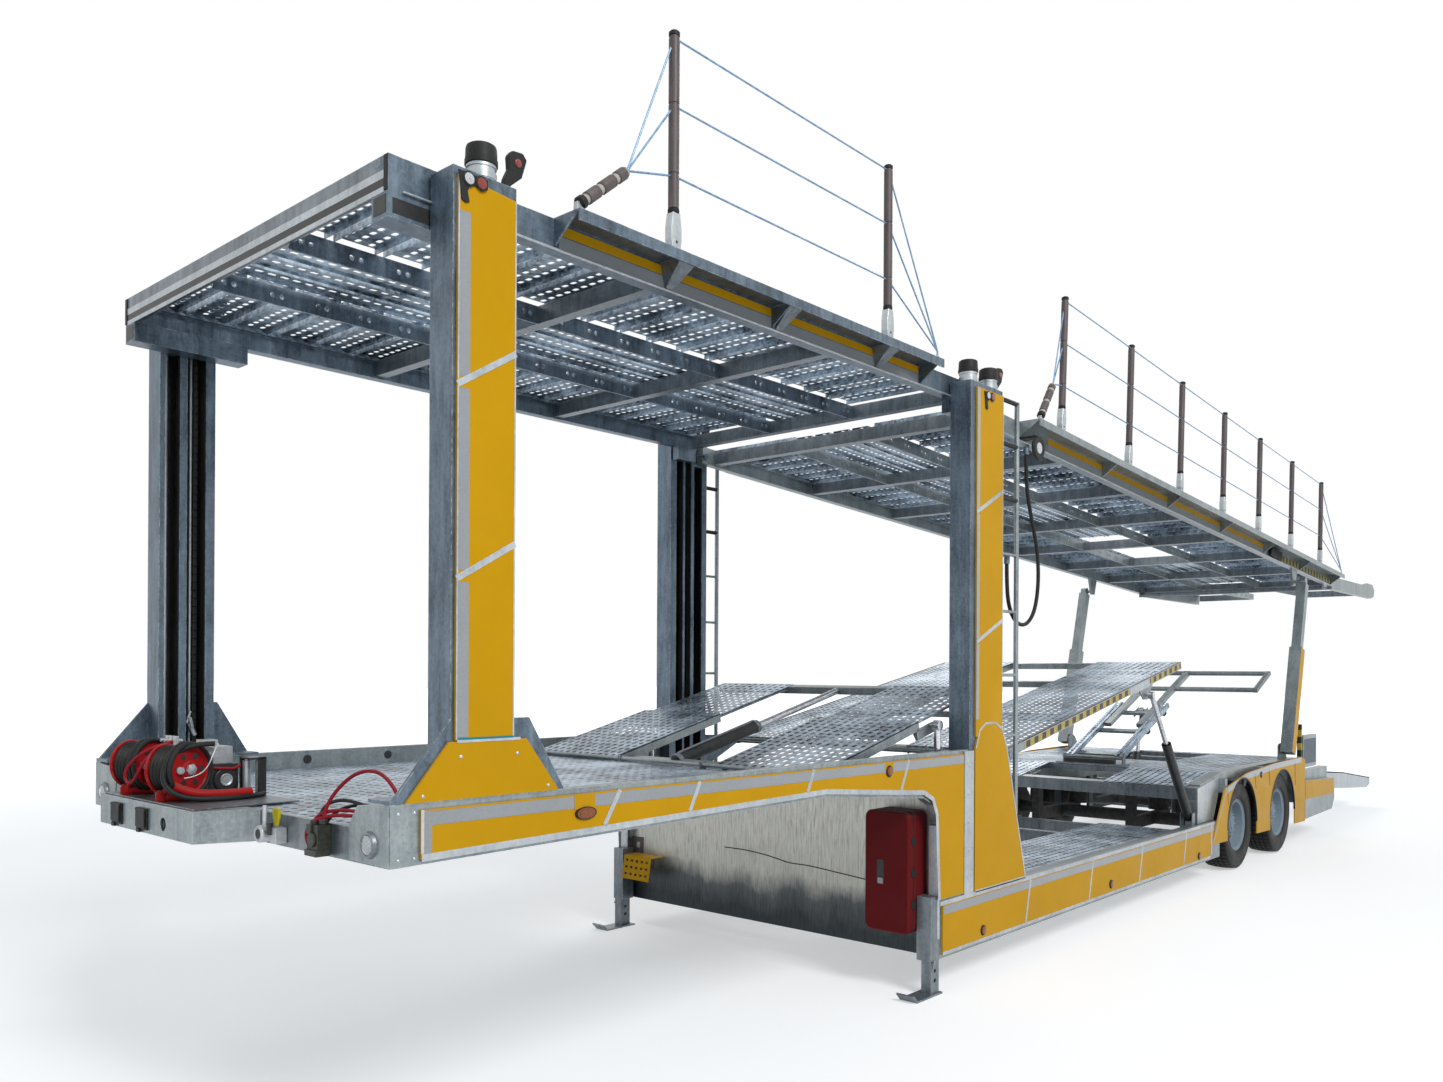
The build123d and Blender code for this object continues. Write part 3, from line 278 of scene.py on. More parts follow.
def placed(tree, shared, **values):
    """One use of a shared node group with its own values."""
    node = tree.nodes.new("ShaderNodeGroup")
    node.node_tree = shared
    for label, value in values.items():
        socket = node.inputs[label.replace("_", " ")]
        if isinstance(value, bpy.types.NodeSocket):
            tree.links.new(value, socket)
        else:
            socket.default_value = (*value, 1) if isinstance(value, tuple) else value
    return node


def galvanised_steel(name, dark, light, patch=60.0, runs=0.5, metallic=0.7, dust=0.25, worn=0.004,
                     spread=0.25):
    """Zinc coat from dark to light, with crystal patches, runs, dust and bright edges."""
    material, tree, skin = surface(name, 0.42, metallic)
    zinc = placed(tree, zinc_group, Patch_Size=patch, Runs=runs)
    shade = number(tree, "ADD", zinc.outputs["Tone"], zinc.outputs["Streak"], clamp=True)
    colour = ramp(tree, shade, [(0.5 - spread, dark), (0.5 + spread, light)])
    if worn:
        bright = placed(tree, wear_group, Colour=colour, Bare=(0.72, 0.75, 0.78), Reach=worn)
        colour = bright.outputs["Colour"]
    road = placed(tree, dust_group, Colour=colour, Amount=dust)
    tree.links.new(road.outputs["Colour"], skin.inputs["Base Color"])
    rough = number(tree, "ADD", number(tree, "MULTIPLY", zinc.outputs["Tone"], 0.35), 0.22, clamp=True)
    tree.links.new(rough, skin.inputs["Roughness"])
    raised(tree, skin, zinc.outputs["Grain"], 0.0006)
    return material


def coat(material, *nodes):
    """Give CAD nodes their finish."""
    for node in nodes:
        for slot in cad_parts[node].material_slots:
            slot.material = material


# Plain zinc; its slight blue is a painted reflection of the sky.
galvanised = galvanised_steel("galvanised", (0.12, 0.15, 0.165), (0.40, 0.45, 0.46), patch=90.0)
# Zinc of the masts and deck 1's frame: its blue is a painted reflection of the sky.
zinc_painted_sky_blue = galvanised_steel("zinc_painted_sky_blue", (0.042, 0.062, 0.084), (0.190, 0.250, 0.310), patch=90.0, runs=0.9,
                             dust=0.10)
bright_zinc = galvanised_steel("bright_zinc", (0.30, 0.34, 0.37), (0.62, 0.66, 0.68), dust=0.15)
dull_zinc = galvanised_steel("dull_zinc", (0.09, 0.11, 0.13), (0.27, 0.31, 0.34), runs=0.8)
coat(galvanised, "gooseneck_frame", "nose_box", "rear_frame", "lift_slide", "kingpin_plate", "rear_boxes",
     "ladders", "deck_2_frame", "strut_barrels", "strut_rods")
coat(zinc_painted_sky_blue, "masts_front", "masts_mid", "deck_1_frame")
coat(dull_zinc, "landing_legs", "crossmembers", "well_frame", "pivot_brackets", "deck_1_members",
     "deck_2_members", "lift_frame")

# Perforated decks
# The planks and wheel tracks are galvanised sheets with rows of oval holes and folded edges.
# Light and the ground show through them. Each holed sheet stands for the plain one of the frame.
sheet_wall, oval_pitch, plank_fold = 0.003, 0.057, 0.028
plank_oval, deck_oval = (0.018, 0.0115), (0.019, 0.013)
X_WAY, Y_WAY, REARWARD = np.array((1.0, 0, 0)), np.array((0, 1.0, 0)), np.array((-1.0, 0, 0))


def holed_sheet(length, width, pitch, rows, oval, fold=0.0):
    """Flat sheet from (0, 0) to (length, width) in cells, each pierced by an eight-sided oval.

    oval is half the hole's length and half its width; fold is how far the two long edges turn down.
    """
    count = max(1, round(length / pitch))
    s, t = np.linspace(0, length, count + 1), np.linspace(0, width, rows + 1)
    corner = np.stack(np.meshgrid(s, t, indexing="ij"), -1)
    middle = (corner[:-1, :-1] + corner[1:, 1:]) / 2
    a, b = oval
    c = 0.55 * min(a, b)
    half_ring = np.array([(a, c - b), (a, b - c), (a - c, b), (c - a, b)])
    ring = np.concatenate([half_ring, -half_ring])
    flat = np.concatenate([corner.reshape(-1, 2), (middle[:, :, None] + ring).reshape(-1, 2)])
    points = np.column_stack([flat, np.zeros(len(flat))])
    i, j = [grid.ravel() for grid in np.meshgrid(np.arange(count), np.arange(rows), indexing="ij")]
    low = i * (rows + 1) + j
    far, far_up, up = low + rows + 1, low + rows + 2, low + 1
    hole = ((count + 1) * (rows + 1) + 8 * np.arange(count * rows))[:, None] + np.arange(8)
    sides = ((far, far_up, hole[:, 1], hole[:, 0]), (far_up, up, hole[:, 3], hole[:, 2]),
             (up, low, hole[:, 5], hole[:, 4]), (low, far, hole[:, 7], hole[:, 6]))
    quads = [np.stack(side, 1) for side in sides]
    tris = [np.stack(q, 1) for q in ((far_up, hole[:, 2], hole[:, 1]), (up, hole[:, 4], hole[:, 3]),
                                     (low, hole[:, 6], hole[:, 5]), (far, hole[:, 0], hole[:, 7]))]
    if fold:
        edge = np.arange(count + 1) * (rows + 1)
        below = len(points) + np.arange(count + 1)
        points = np.concatenate([points, points[edge] - (0, 0, fold), points[edge + rows] - (0, 0, fold)])
        beyond, under = edge + rows, below + count + 1
        near = np.stack([edge[:-1], below[:-1], below[1:], edge[1:]], 1)
        across = np.stack([beyond[:-1], beyond[1:], under[1:], under[:-1]], 1)
        quads += [near, across]
    return points, [np.concatenate(quads), np.concatenate(tris)]


def laid(shape, origin, along, across):
    """The same shape with its first axis laid along one direction and its second across."""
    points, faces = shape
    axes = np.stack([along, across, np.cross(along, across)])
    return np.array(origin) + points @ axes, faces


def prism(outline, low, high, axis="y"):
    """Solid with an outline across an axis: two end faces between two levels, and a wall for each edge."""
    flat = np.array(outline, float)
    if axis == "y":
        flat = flat[:, ::-1]
    ahead_of = np.roll(flat, -1, axis=0)
    if np.sum(flat[:, 0] * ahead_of[:, 1] - flat[:, 1] * ahead_of[:, 0]) < 0:
        flat = flat[::-1]
    count = len(flat)
    ring = np.arange(count)
    after = np.roll(ring, -1)
    local = np.column_stack([np.tile(flat, (2, 1)), np.repeat([min(low, high), max(low, high)], count)])
    order = {"x": [2, 0, 1], "y": [1, 2, 0], "z": [0, 1, 2]}[axis]
    walls = np.stack([ring, after, after + count, ring + count], 1)
    return local[:, order], [ring[None, ::-1], ring[None] + count, walls]


def block(x0, x1, y0, y1, z0, z1):
    """Bar with square faces between three pairs of levels."""
    return prism([(x0, z0), (x1, z0), (x1, z1), (x0, z1)], y0, y1)


def turned(start, axis, section, sides=24):
    """Round shape: rings of the section's radii, each at its distance from the start along the axis."""
    axis = np.array(axis, float) / np.linalg.norm(axis)
    first = np.cross(axis, (0.0, 0.28, 0.96) if abs(axis[2]) < 0.9 else (1.0, 0.0, 0.0))
    first /= np.linalg.norm(first)
    angle = np.linspace(0, 2 * np.pi, sides, endpoint=False)
    spoke = np.cos(angle)[:, None] * first + np.sin(angle)[:, None] * np.cross(axis, first)
    along, radius = np.array(section, float).T
    rings = np.array(start) + along[:, None, None] * axis + radius[:, None, None] * spoke
    row, column = np.meshgrid(np.arange(len(section) - 1), np.arange(sides), indexing="ij")
    here, beside = (row * sides + column).ravel(), (row * sides + (column + 1) % sides).ravel()
    last = (len(section) - 1) * sides + np.arange(sides)
    skin = np.stack([here, beside, beside + sides, here + sides], 1)
    return rings.reshape(-1, 3), [skin, np.arange(sides)[None, ::-1], last[None]]


def bar(start, end, r, sides=16):
    """Round bar between two points, with its end edges rounded off."""
    way, edge = np.subtract(end, start), min(0.15 * r, 0.003)
    reach = float(np.linalg.norm(way))
    return turned(start, way, [(0, r - edge), (edge, r), (reach - edge, r), (reach, r - edge)], sides)


def both_sides(shapes):
    """Each shape and its mirror image on the other side of the trailer, with its faces turned over."""
    return shapes + [(points * (1, -1, 1), [rows[:, ::-1] for rows in faces]) for points, faces in shapes]


def piece(name, shapes, material, body, stands_for=(), wall=0.0, smooth=False, rounded=0.0):
    """One object made of shapes in stations: wall thickens open sheets, rounded softens square edges."""
    points, faces, first = [], [], 0
    for some_points, some_faces in shapes:
        points.append(some_points + (station_0, 0, 0))
        faces += [face for rows in some_faces for face in (rows + first).tolist()]
        first += len(some_points)
    mesh = bpy.data.meshes.new(name)
    mesh.from_pydata(np.concatenate(points).tolist(), [], faces)
    if smooth:
        mesh.shade_smooth()
        mesh.set_sharp_from_angle(angle=math.radians(35))
    mesh.materials.append(material)
    thing = bpy.data.objects.new(name, mesh)
    bpy.context.scene.collection.objects.link(thing)
    if wall:
        solid = thing.modifiers.new("wall", "SOLIDIFY")
        solid.thickness, solid.offset = wall, -1
    if rounded:
        edge = thing.modifiers.new("edge", "BEVEL")
        edge.width, edge.segments, edge.limit_method, edge.angle_limit = rounded, 1, "ANGLE", math.radians(40)
    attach(thing, body)
    if stands_for:
        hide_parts(*stands_for)
    return thing


# Zinc of the holed sheets: its bright bluish patches on a dark base are painted reflections of the sky.
deck_zinc_painted_sky = galvanised_steel("deck_zinc_painted_sky", (0.040, 0.070, 0.105), (0.56, 0.66, 0.76), patch=60.0, runs=0.3,
                             metallic=0.75, dust=0.08, worn=0, spread=0.13)
rail_in, deck_in, out_y, side_y, in_y = 0.330, 1.068, 1.275, 1.265, 1.215
middle_rows, middle_width, middle_drop = (-0.230, -0.077, 0.077, 0.230), 0.124, 0.016

deck_1_front, deck_1_rear, deck_1_top, deck_1_step, deck_1_plank = -0.067, -3.930, 3.495, 0.222, 0.185


def cross_planks(start, way, first, step, count, width):
    """Channel planks on both sides of the middle, one after the other down a deck."""
    planks = []
    for s in first + step * np.arange(count):
        for y in (rail_in, -deck_in):
            plank = holed_sheet(deck_in - rail_in, width, oval_pitch, 3, plank_oval, plank_fold)
            planks.append(laid(plank, start + way * s + Y_WAY * y, Y_WAY, way))
    return planks


def middle_planks(start, way, s0, s1):
    """Four narrow planks along the middle of a deck, each with one row of ovals."""
    rise = np.cross(Y_WAY, way)
    planks = []
    for y in middle_rows:
        plank = holed_sheet(s1 - s0, middle_width, oval_pitch, 1, plank_oval, plank_fold - middle_drop)
        corner = start + way * s1 - rise * middle_drop + Y_WAY * (y - middle_width / 2)
        planks.append(laid(plank, corner, -way, Y_WAY))
    return planks


deck_1_start = np.array((deck_1_front, 0, deck_1_top))
planks = cross_planks(deck_1_start, REARWARD, 0.020, deck_1_step, 17, deck_1_plank)
planks += middle_planks(deck_1_start, REARWARD, 0.012, deck_1_front - deck_1_rear)
piece("deck_1_sheets", planks, deck_zinc_painted_sky, "deck_1", ["deck_1_planks"], sheet_wall)

slope, deck_2_length, deck_2_step, deck_2_plank = math.radians(3.245), 8.480, 0.200, 0.160
deck_2_start, deck_2_way = np.array((-4.120, 0, 3.405)), np.array((-math.cos(slope), 0, -math.sin(slope)))
tail_start = deck_2_start + deck_2_way * deck_2_length
planks = cross_planks(deck_2_start, deck_2_way, 0.020, deck_2_step, 42, deck_2_plank)
planks += cross_planks(tail_start, REARWARD, 0.020, deck_2_step, 9, deck_2_plank)
piece("deck_2_sheets", planks, deck_zinc_painted_sky, "deck_2", ["deck_2_planks"], sheet_wall)
planks = middle_planks(deck_2_start, deck_2_way, 0, 4.600)
planks += middle_planks(deck_2_start, deck_2_way, 6.080, 8.400)
piece("deck_2_middle_sheets", planks, deck_zinc_painted_sky, "deck_2", wall=sheet_wall)


def floor_sheet(x0, x1, y0, y1, z0, z1, pitch=0.062, fold=0.010, oval=deck_oval):
    """Holed floor from station x0 back to x1, with its level going from z0 to z1."""
    way = np.array((x1 - x0, 0, z1 - z0))
    length = float(np.linalg.norm(way))
    sheet = holed_sheet(length, y1 - y0, pitch, round((y1 - y0) / pitch), oval, fold)
    return laid(sheet, (x1, y0, z1), -way / length, Y_WAY)


round_hole = (0.013, 0.013)
nose_floor = both_sides([floor_sheet(-0.020, -2.478, 0.390, in_y, 1.240, 1.240, oval=round_hole),
                         floor_sheet(-2.490, -3.420, 0.390, in_y, 1.178, 1.178, oval=round_hole)])
nose_floor.append(floor_sheet(-0.020, -2.478, -0.388, 0.388, 1.240, 1.240, oval=round_hole))
piece("gooseneck_sheets", nose_floor, deck_zinc_painted_sky, "chassis", ["gooseneck_deck"], sheet_wall)
well_floor = both_sides([floor_sheet(-3.480, -7.680, 0.380, 1.108, 0.440, 0.440)])
piece("well_sheets", well_floor, deck_zinc_painted_sky, "chassis", ["well_floor"], sheet_wall)
rear_floor = both_sides([floor_sheet(-7.700, -8.300, 0.400, 1.110, 0.815, 0.900),
                         floor_sheet(-8.300, -10.750, 0.400, 1.110, 0.900, 0.900)])
rear_floor += [floor_sheet(-8.300, -9.240, -0.398, 0.398, 0.900, 0.900),
               floor_sheet(-10.660, -10.750, -0.398, 0.398, 0.900, 0.900)]
piece("rear_sheets", rear_floor, deck_zinc_painted_sky, "chassis", ["rear_deck"], sheet_wall)
cheek = [(-7.705, 0.502), (-7.705, 0.800), (-8.235, 0.868), (-8.235, 0.735), (-8.100, 0.502)]
cheeks = both_sides([prism(cheek, 1.205, 1.213)])
piece("rear_cheeks", cheeks, bright_zinc, "chassis", rounded=0.002)

# Lower platforms
# Two pairs of wheel tracks: folded galvanised sheets with slots, on side flanges and cross bars.
# Platform 1 has a part that a ram in the middle pushes out. Side cylinders lift platform 2.


def stained(name, roughness, spots, stops, stretch=(1, 1, 1), gloss=None, grain=None, metallic=0.0):
    """Finish whose colour follows one noise.

    spots is the noise's scale, detail and roughness, and stops are its colours. gloss gives the stops of
    the surface's own roughness, and grain the scale and the depth of its bump.
    """
    material, tree, skin = surface(name, roughness, metallic)
    stain = noise(tree, at_object(tree, stretch), *spots)
    tree.links.new(ramp(tree, stain, stops), skin.inputs["Base Color"])
    if gloss:
        tree.links.new(ramp(tree, stain, gloss), skin.inputs["Roughness"])
    if grain:
        raised(tree, skin, noise(tree, at_object(tree), grain[0]), grain[1])
    return material


black_paint = stained("black_paint", 0.4, (14.0, 7.0, 0.7), [(0.35, 0.006), (0.75, 0.035)],
                      grain=(150.0, 0.0004))
chrome = stained("chrome_rod", 0.12, (30.0, 6.0, 0.6), [(0.3, (0.38, 0.38, 0.41)), (0.7, (0.72, 0.74, 0.78))],
                 stretch=(1, 1, 3), gloss=[(0.3, 0.10), (0.8, 0.26)], metallic=1.0)


def slab(start, way, s0, s1, n0, n1, y0, y1):
    """Bar on a line down or up the trailer, from s0 to s1 along it and n0 to n1 above it."""
    rise = np.cross(Y_WAY, way)
    corners = [(start + way * s + rise * n)[[0, 2]] for s, n in ((s0, n0), (s1, n0), (s1, n1), (s0, n1))]
    return prism(corners, y0, y1)


def track(start, way, s0, s1, n, y0, y1, pitch=0.060, fold=0.012):
    """Slotted wheel track on a line, n above it."""
    rise = np.cross(Y_WAY, way)
    sheet = holed_sheet(s1 - s0, y1 - y0, pitch, round((y1 - y0) / pitch), deck_oval, fold)
    return laid(sheet, start + way * s0 + rise * n + Y_WAY * y1, way, -Y_WAY)


def line_of(x0, z0, x1, z1):
    """Start, direction and length of a line in X and Z."""
    way = np.array((x1 - x0, 0, z1 - z0))
    return np.array((x0, 0, z0)), way / np.linalg.norm(way), float(np.linalg.norm(way))


def middle_bar(start, way, s0, s1, n, r):
    """Round bar in the middle of the trailer, along a line and n above it."""
    rise = np.cross(Y_WAY, way)
    return bar(start + way * s0 + rise * n, start + way * s1 + rise * n, r, 24)


track_in, track_out = 0.400, 1.100
start, way, length = line_of(-2.500, 1.262, -4.250, 1.698)
fixed, ram_n = 0.979, -0.042
flange_t, slide_in, slide_out = 0.012, track_in + 0.020, track_out - 0.020
tracks = both_sides([track(start, way, 0, fixed, 0, track_in, track_out)])
piece("platform_1_tracks", tracks, deck_zinc_painted_sky, "platform_1", ["platform_1"], sheet_wall)
flanges = [slab(start, way, 0.060, fixed, -0.060, -0.004, y, y + flange_t)
           for y in (track_in, track_out - flange_t)]
flanges.append(slab(start, way, fixed - 0.030, fixed + 0.150, -0.110, -0.050,
                    track_out - flange_t, track_out))
shapes = both_sides(flanges)
shapes.append(slab(start, way, 0.100, 0.150, -0.060, -0.032, -track_out, track_out))
shapes.append(bar(start + (0, -1.140, -0.004), start + (0, 1.140, -0.004), 0.012))
piece("platform_1_frame", shapes, galvanised, "platform_1", rounded=0.002)
barrel = middle_bar(start, way, 0.120, 0.860, ram_n, 0.036)
piece("platform_1_ram_barrel", [barrel], black_paint, "platform_1", smooth=True)
tracks = both_sides([track(start, way, 0.640, length, -0.016, slide_in, slide_out)])
piece("platform_1_slide_tracks", tracks, deck_zinc_painted_sky, "platform_1_slide", ["platform_1_slide"],
      sheet_wall)
shapes = [slab(start, way, length - 0.060, length, -0.070, -0.020, -slide_out, slide_out)]
shapes += both_sides([slab(start, way, 0.664, length, -0.040, -0.020, slide_in, slide_in + 0.004)])
piece("platform_1_slide_bar", shapes, galvanised, "platform_1_slide", rounded=0.003)
ram = middle_bar(start, way, 0.760, length - 0.050, ram_n, 0.022)
piece("platform_1_ram", [ram], chrome, "platform_1_slide", smooth=True)

start, way, length = line_of(-4.440, 1.262, -7.560, 1.852)
tracks = both_sides([track(start, way, 0, length, 0.020, track_in, track_out)])
piece("platform_2_tracks", tracks, deck_zinc_painted_sky, "platform_2", ["platform_2"], sheet_wall)
ears = [(-6.820, 1.565), (-6.740, 1.565), (-6.590, 1.685), (-6.980, 1.750)]
shapes = both_sides([slab(start, way, 0, length, -0.040, 0.016, track_in, track_in + flange_t),
                     slab(start, way, 0, length, -0.040, 0.018, track_out - flange_t, track_out + 0.020),
                     prism(ears, track_out + 0.008, track_out + 0.020)])
shapes += [slab(start, way, s - 0.020, s + 0.020, -0.036, 0.012, -track_out, track_out)
           for s in (0.030, 1.100, 2.300, length - 0.030)]
shapes.append(bar(start + (0, -1.160, -0.004), start + (0, 1.160, -0.004), 0.014))
piece("platform_2_frame", shapes, galvanised, "platform_2", rounded=0.002)
coat(black_paint, "platform_1_lift_barrels", "platform_2_lift_barrels", "lift_cylinder_barrels")
coat(chrome, "platform_1_lift_rods", "platform_2_lift_rods", "lift_cylinder_rods")

# Wheel lift
# Two slotted arms are hinged on the rear deck, with a loop of square bar that slides out of them.
# The arms are folded galvanised sheets, joined by three cross bars welded under them.
start, way, length = line_of(-8.420, 0.965, -10.520, 1.785)
lift_fixed = 1.330
arm = [track(start, way, 0, lift_fixed, 0.025, 0.205, 0.275, 0.048, 0.050)]
piece("lift_arm_sheets", both_sides(arm), deck_zinc_painted_sky, "lift_frame", ["lift_frame"], sheet_wall)
bars_s = (0.140, 0.700, 1.170)
blocks_under = [slab(start, way, s, s + 0.060, -0.058, -0.020, 0.205, 0.275) for s in bars_s]
blocks_under.append(slab(start, way, 1.180, lift_fixed, -0.084, -0.030, 0.042, 0.054))
shapes = both_sides(blocks_under)
shapes += [slab(start, way, s, s + 0.060, -0.058, -0.030, -0.275, 0.275) for s in bars_s]
shapes.append(bar(start - Y_WAY * 0.300, start + Y_WAY * 0.300, 0.016))
piece("lift_arm_bars", shapes, galvanised, "lift_frame", rounded=0.002)

# Loading ramps
# A pair of long ramps slides out behind the wheels. Each has two cheek plates, ribs and a slotted top.
# They are folded and welded galvanised sheet, and bend down at a knee so that their tips reach the ground.
root, knee, tip, ramp_depth = (-11.300, 0.711), (-13.720, 0.542), (-15.200, 0.380), 0.200
start, way, length = line_of(*root, *knee)
low_root, low_knee = [(start + way * s - np.cross(Y_WAY, way) * ramp_depth)[[0, 2]] for s in (0, length)]
cheek = [root, knee, tip, (tip[0], 0.290), (tip[0] + 0.160, 0.255), low_knee, low_root]
tip_start, tip_way, tip_length = line_of(*knee, *tip)
for side, sign in (("left", 1), ("right", -1)):
    y0, y1 = sorted((0.520 * sign, 0.985 * sign))
    tops = [track(start, way, 0, length, 0, y0, y1), track(tip_start, tip_way, 0, tip_length, 0, y0, y1)]
    piece(f"ramp_{side}_sheets", tops, deck_zinc_painted_sky, f"ramp_{side}", [f"ramp_{side}"], sheet_wall)
    places = 0.030 + (length - 0.100) / 5 * np.arange(6)
    ribs = [slab(start, way, s, s + 0.012, -ramp_depth, -0.008, y0, y1) for s in places]
    cheeks = [prism(cheek, y0, y0 + 0.010), prism(cheek, y1 - 0.010, y1)]
    piece(f"ramp_{side}_frame", cheeks + ribs, bright_zinc, f"ramp_{side}", rounded=0.002)

# Side panels
# Yellow sheet panels cover the gooseneck beam and the sill, with a grey reflective band along the top.
# Slanted joints, the lower edges and the corner strips are bare zinc; the strips are riveted on.
trim_out, plate_t = 0.002, 0.0012


def painted(name, colour, roughness, wear=0.003, mottle=0.10):
    """Sprayed or foiled sheet: a nearly even colour with faint clouds, dust and worn edges."""
    material, tree, skin = surface(name, roughness, Coat_Weight=0.02, Coat_Roughness=0.18,
                                   Specular_IOR_Level=0.06)
    clouds = noise(tree, at_object(tree), 1.7, 7.0, 0.65)
    deep, pale = tuple(c * (1 - mottle) for c in colour), tuple(min(1, c * (1 + mottle)) for c in colour)
    tone = ramp(tree, clouds, [(0.30, deep), (0.70, pale)])
    if wear:
        tone = placed(tree, wear_group, Colour=tone, Bare=(0.30, 0.31, 0.32), Reach=wear).outputs["Colour"]
    road = placed(tree, dust_group, Colour=tone, Amount=0.18)
    tree.links.new(road.outputs["Colour"], skin.inputs["Base Color"])
    rough = ramp(tree, noise(tree, at_object(tree), 6.0, 6.0),
                 [(0.3, roughness * 0.8), (0.8, roughness * 1.35)])
    tree.links.new(rough, skin.inputs["Roughness"])
    raised(tree, skin, noise(tree, at_object(tree), 420.0, 2.0), 0.0002, 0.25)
    return material


yellow = painted("yellow_paint", (0.665, 0.345, 0.0006), 0.36, mottle=0.06)
grey_film, tree, skin = surface("reflective_film", 0.30, Coat_Weight=0.4, Coat_Roughness=0.1)
cells = add(tree, "TexVoronoi", {"Vector": at_object(tree), "Scale": 260.0}, feature="DISTANCE_TO_EDGE")
bead = ramp(tree, cells.outputs["Distance"], [(0.02, (0.27, 0.29, 0.31)), (0.12, (0.38, 0.40, 0.42))])
stain = ramp(tree, noise(tree, at_object(tree), 4.0, 7.0), [(0.35, 0.0), (0.75, 0.35)])
tree.links.new(mixed(tree, stain, bead, (0.26, 0.26, 0.25)), skin.inputs["Base Color"])
raised(tree, skin, cells.outputs["Distance"], 0.0003, 0.3)


def panel(x0, x1, low, high, rise=plate_t):
    """Flat plate on the trailer's side, with its outer face at a rise from the side."""
    return block(x0, x1, out_y, out_y + rise, low, high)


def strip(path, width, low=out_y, high=out_y + trim_out):
    """Flat strip of even width along points in X and Z; each corner is mitred on its bisector."""
    path = np.array(path, float)
    runs = np.diff(path, axis=0)
    runs /= np.linalg.norm(runs, axis=1)[:, None]
    square = np.column_stack([-runs[:, 1], runs[:, 0]])
    mitre = np.vstack([square[:1], square]) + np.vstack([square, square[-1:]])
    edge = mitre * (width / np.sum(mitre ** 2, axis=1))[:, None]
    return prism(np.vstack([path + edge, (path - edge)[::-1]]), low, high)


def rivets(places, y, r, rise=0.004, sides=10):
    """Domed heads on the side: circles that narrow from the foot to the crown."""
    crown = [(0, r), (rise * 0.6, r * 0.86), (rise, r * 0.45)]
    return [turned((x, y, z), Y_WAY, crown, sides) for x, z in places]


coat(yellow, "side_skins", "mast_claddings", "wheel_chock", "fenders")
band_low, band_top, joint_width = 1.255, 1.301, 0.019
joints = [(-0.996, -0.916, 1.180), (-1.451, -1.390, 1.190), (-2.242, -2.194, 1.207), (-3.074, -3.000, 1.156)]
band_ends = [-0.150] + [(top + foot) / 2 for top, foot, low in joints] + [-3.652]
bands = [panel(a, b, band_low, band_top) for a, b in zip(band_ends, band_ends[1:])]
bands.append(panel(-0.122, -0.150, 1.150, 1.304))
sill_band_low, sill_band_top, sill_joints = 0.432, 0.478, (-4.452, -5.393, -6.288, -7.218)
sill_ends = [-3.440, *sill_joints, -7.905]
bands += [panel(a, b, sill_band_low, sill_band_top) for a, b in zip(sill_ends, sill_ends[1:])]
piece("panel_bands", both_sides(bands), grey_film, "chassis")

edge_low = [(-0.112, 1.150), (-2.340, 1.196), (-3.228, 1.122), (-3.318, 1.080), (-3.362, 0.992),
            (-3.389, 0.520)]
strips = [strip([(top, 1.307), (foot, low)], joint_width) for top, foot, low in joints]
strips += [strip([(x - 0.035, 0.484), (x + 0.031, 0.2285)], joint_width) for x in sill_joints]
strips += [strip(edge_low, 0.024), strip([(-0.114, 1.164), (-0.114, 1.308)], 0.012),
           strip([(-3.430, 0.218), (-7.825, 0.218)], 0.018), strip([(-7.858, 0.240), (-7.858, 0.484)], 0.030),
           strip([(-3.400, 0.497), (-7.925, 0.497)], 0.024, side_y),
           strip([(-3.715, 0.504), (-3.715, 1.322)], 0.105, side_y, out_y)]
bolts = rivets([(-3.715, z) for z in np.linspace(0.60, 1.24, 5)], out_y, 0.013, 0.007)
bolts += rivets([(x, z) for x in (-0.030, -0.090) for z in (1.300, 1.150)], side_y, 0.006)
piece("panel_strips", both_sides(strips + bolts), bright_zinc, "chassis")
tabs = [panel(front, rear, 1.250, 1.303, 2 * plate_t) for front, rear in ((-0.764, -0.866), (-2.850, -2.925))]
piece("lamp_tabs", both_sides(tabs), yellow, "chassis")

# Mast covers
# Yellow sheets cover the masts' outer faces, with a reflective band or pale strip at the front edge.
# Bright slanted joints divide them. The mid masts' covers end in a wide dome above the sill.
front_joints = [((-0.240, 2.731), (-0.484, 2.883)), ((-0.240, 2.075), (-0.484, 2.213))]
mid_joints = [((-3.790, 2.696), (-4.104, 2.853)), ((-3.790, 1.946), (-4.104, 2.084))]
covers = [strip(list(ends), 0.022) for ends in front_joints + mid_joints]
cover_edges = [(-0.243, 1.533, 3.438), (-0.481, 1.533, 3.420), (-3.793, 1.500, 3.418), (-4.101, 1.500, 3.418)]
covers += [strip([(x, foot), (x, head)], 0.006, high=out_y + trim_out * 0.7) for x, foot, head in cover_edges]
dome = [(-3.790, 1.335), (-3.834, 1.436), (-3.902, 1.474), (-4.018, 1.474), (-4.106, 1.434), (-4.159, 1.328)]
covers += [strip([(-0.246, 1.527), (-0.512, 1.527)], 0.010), strip(dome, 0.012),
           strip([(-4.163, 1.325), (-4.414, 0.512)], 0.012), strip([(-3.790, 0.510), (-4.414, 0.510)], 0.014)]
piece("cover_joints", both_sides(covers), bright_zinc, "chassis")
bands = [panel(-0.247, -0.290, a, b) for a, b in ((1.540, 2.065), (2.105, 2.722), (2.760, 3.320))]
piece("mast_bands", both_sides(bands), grey_film, "chassis")
cream = painted("cream_strip", (0.52, 0.50, 0.42), 0.5)
strips = [panel(-3.797, -3.822, a, b) for a, b in ((1.500, 1.935), (1.965, 2.685), (2.715, 3.415))]
piece("mast_strips", both_sides(strips), cream, "chassis")
bolts = rivets([(-0.115, 1.352), (-0.262, 1.475), (-0.500, 1.475), (-0.640, 1.352)], out_y, 0.007)
piece("cover_bolts", both_sides(bolts), bright_zinc, "chassis")
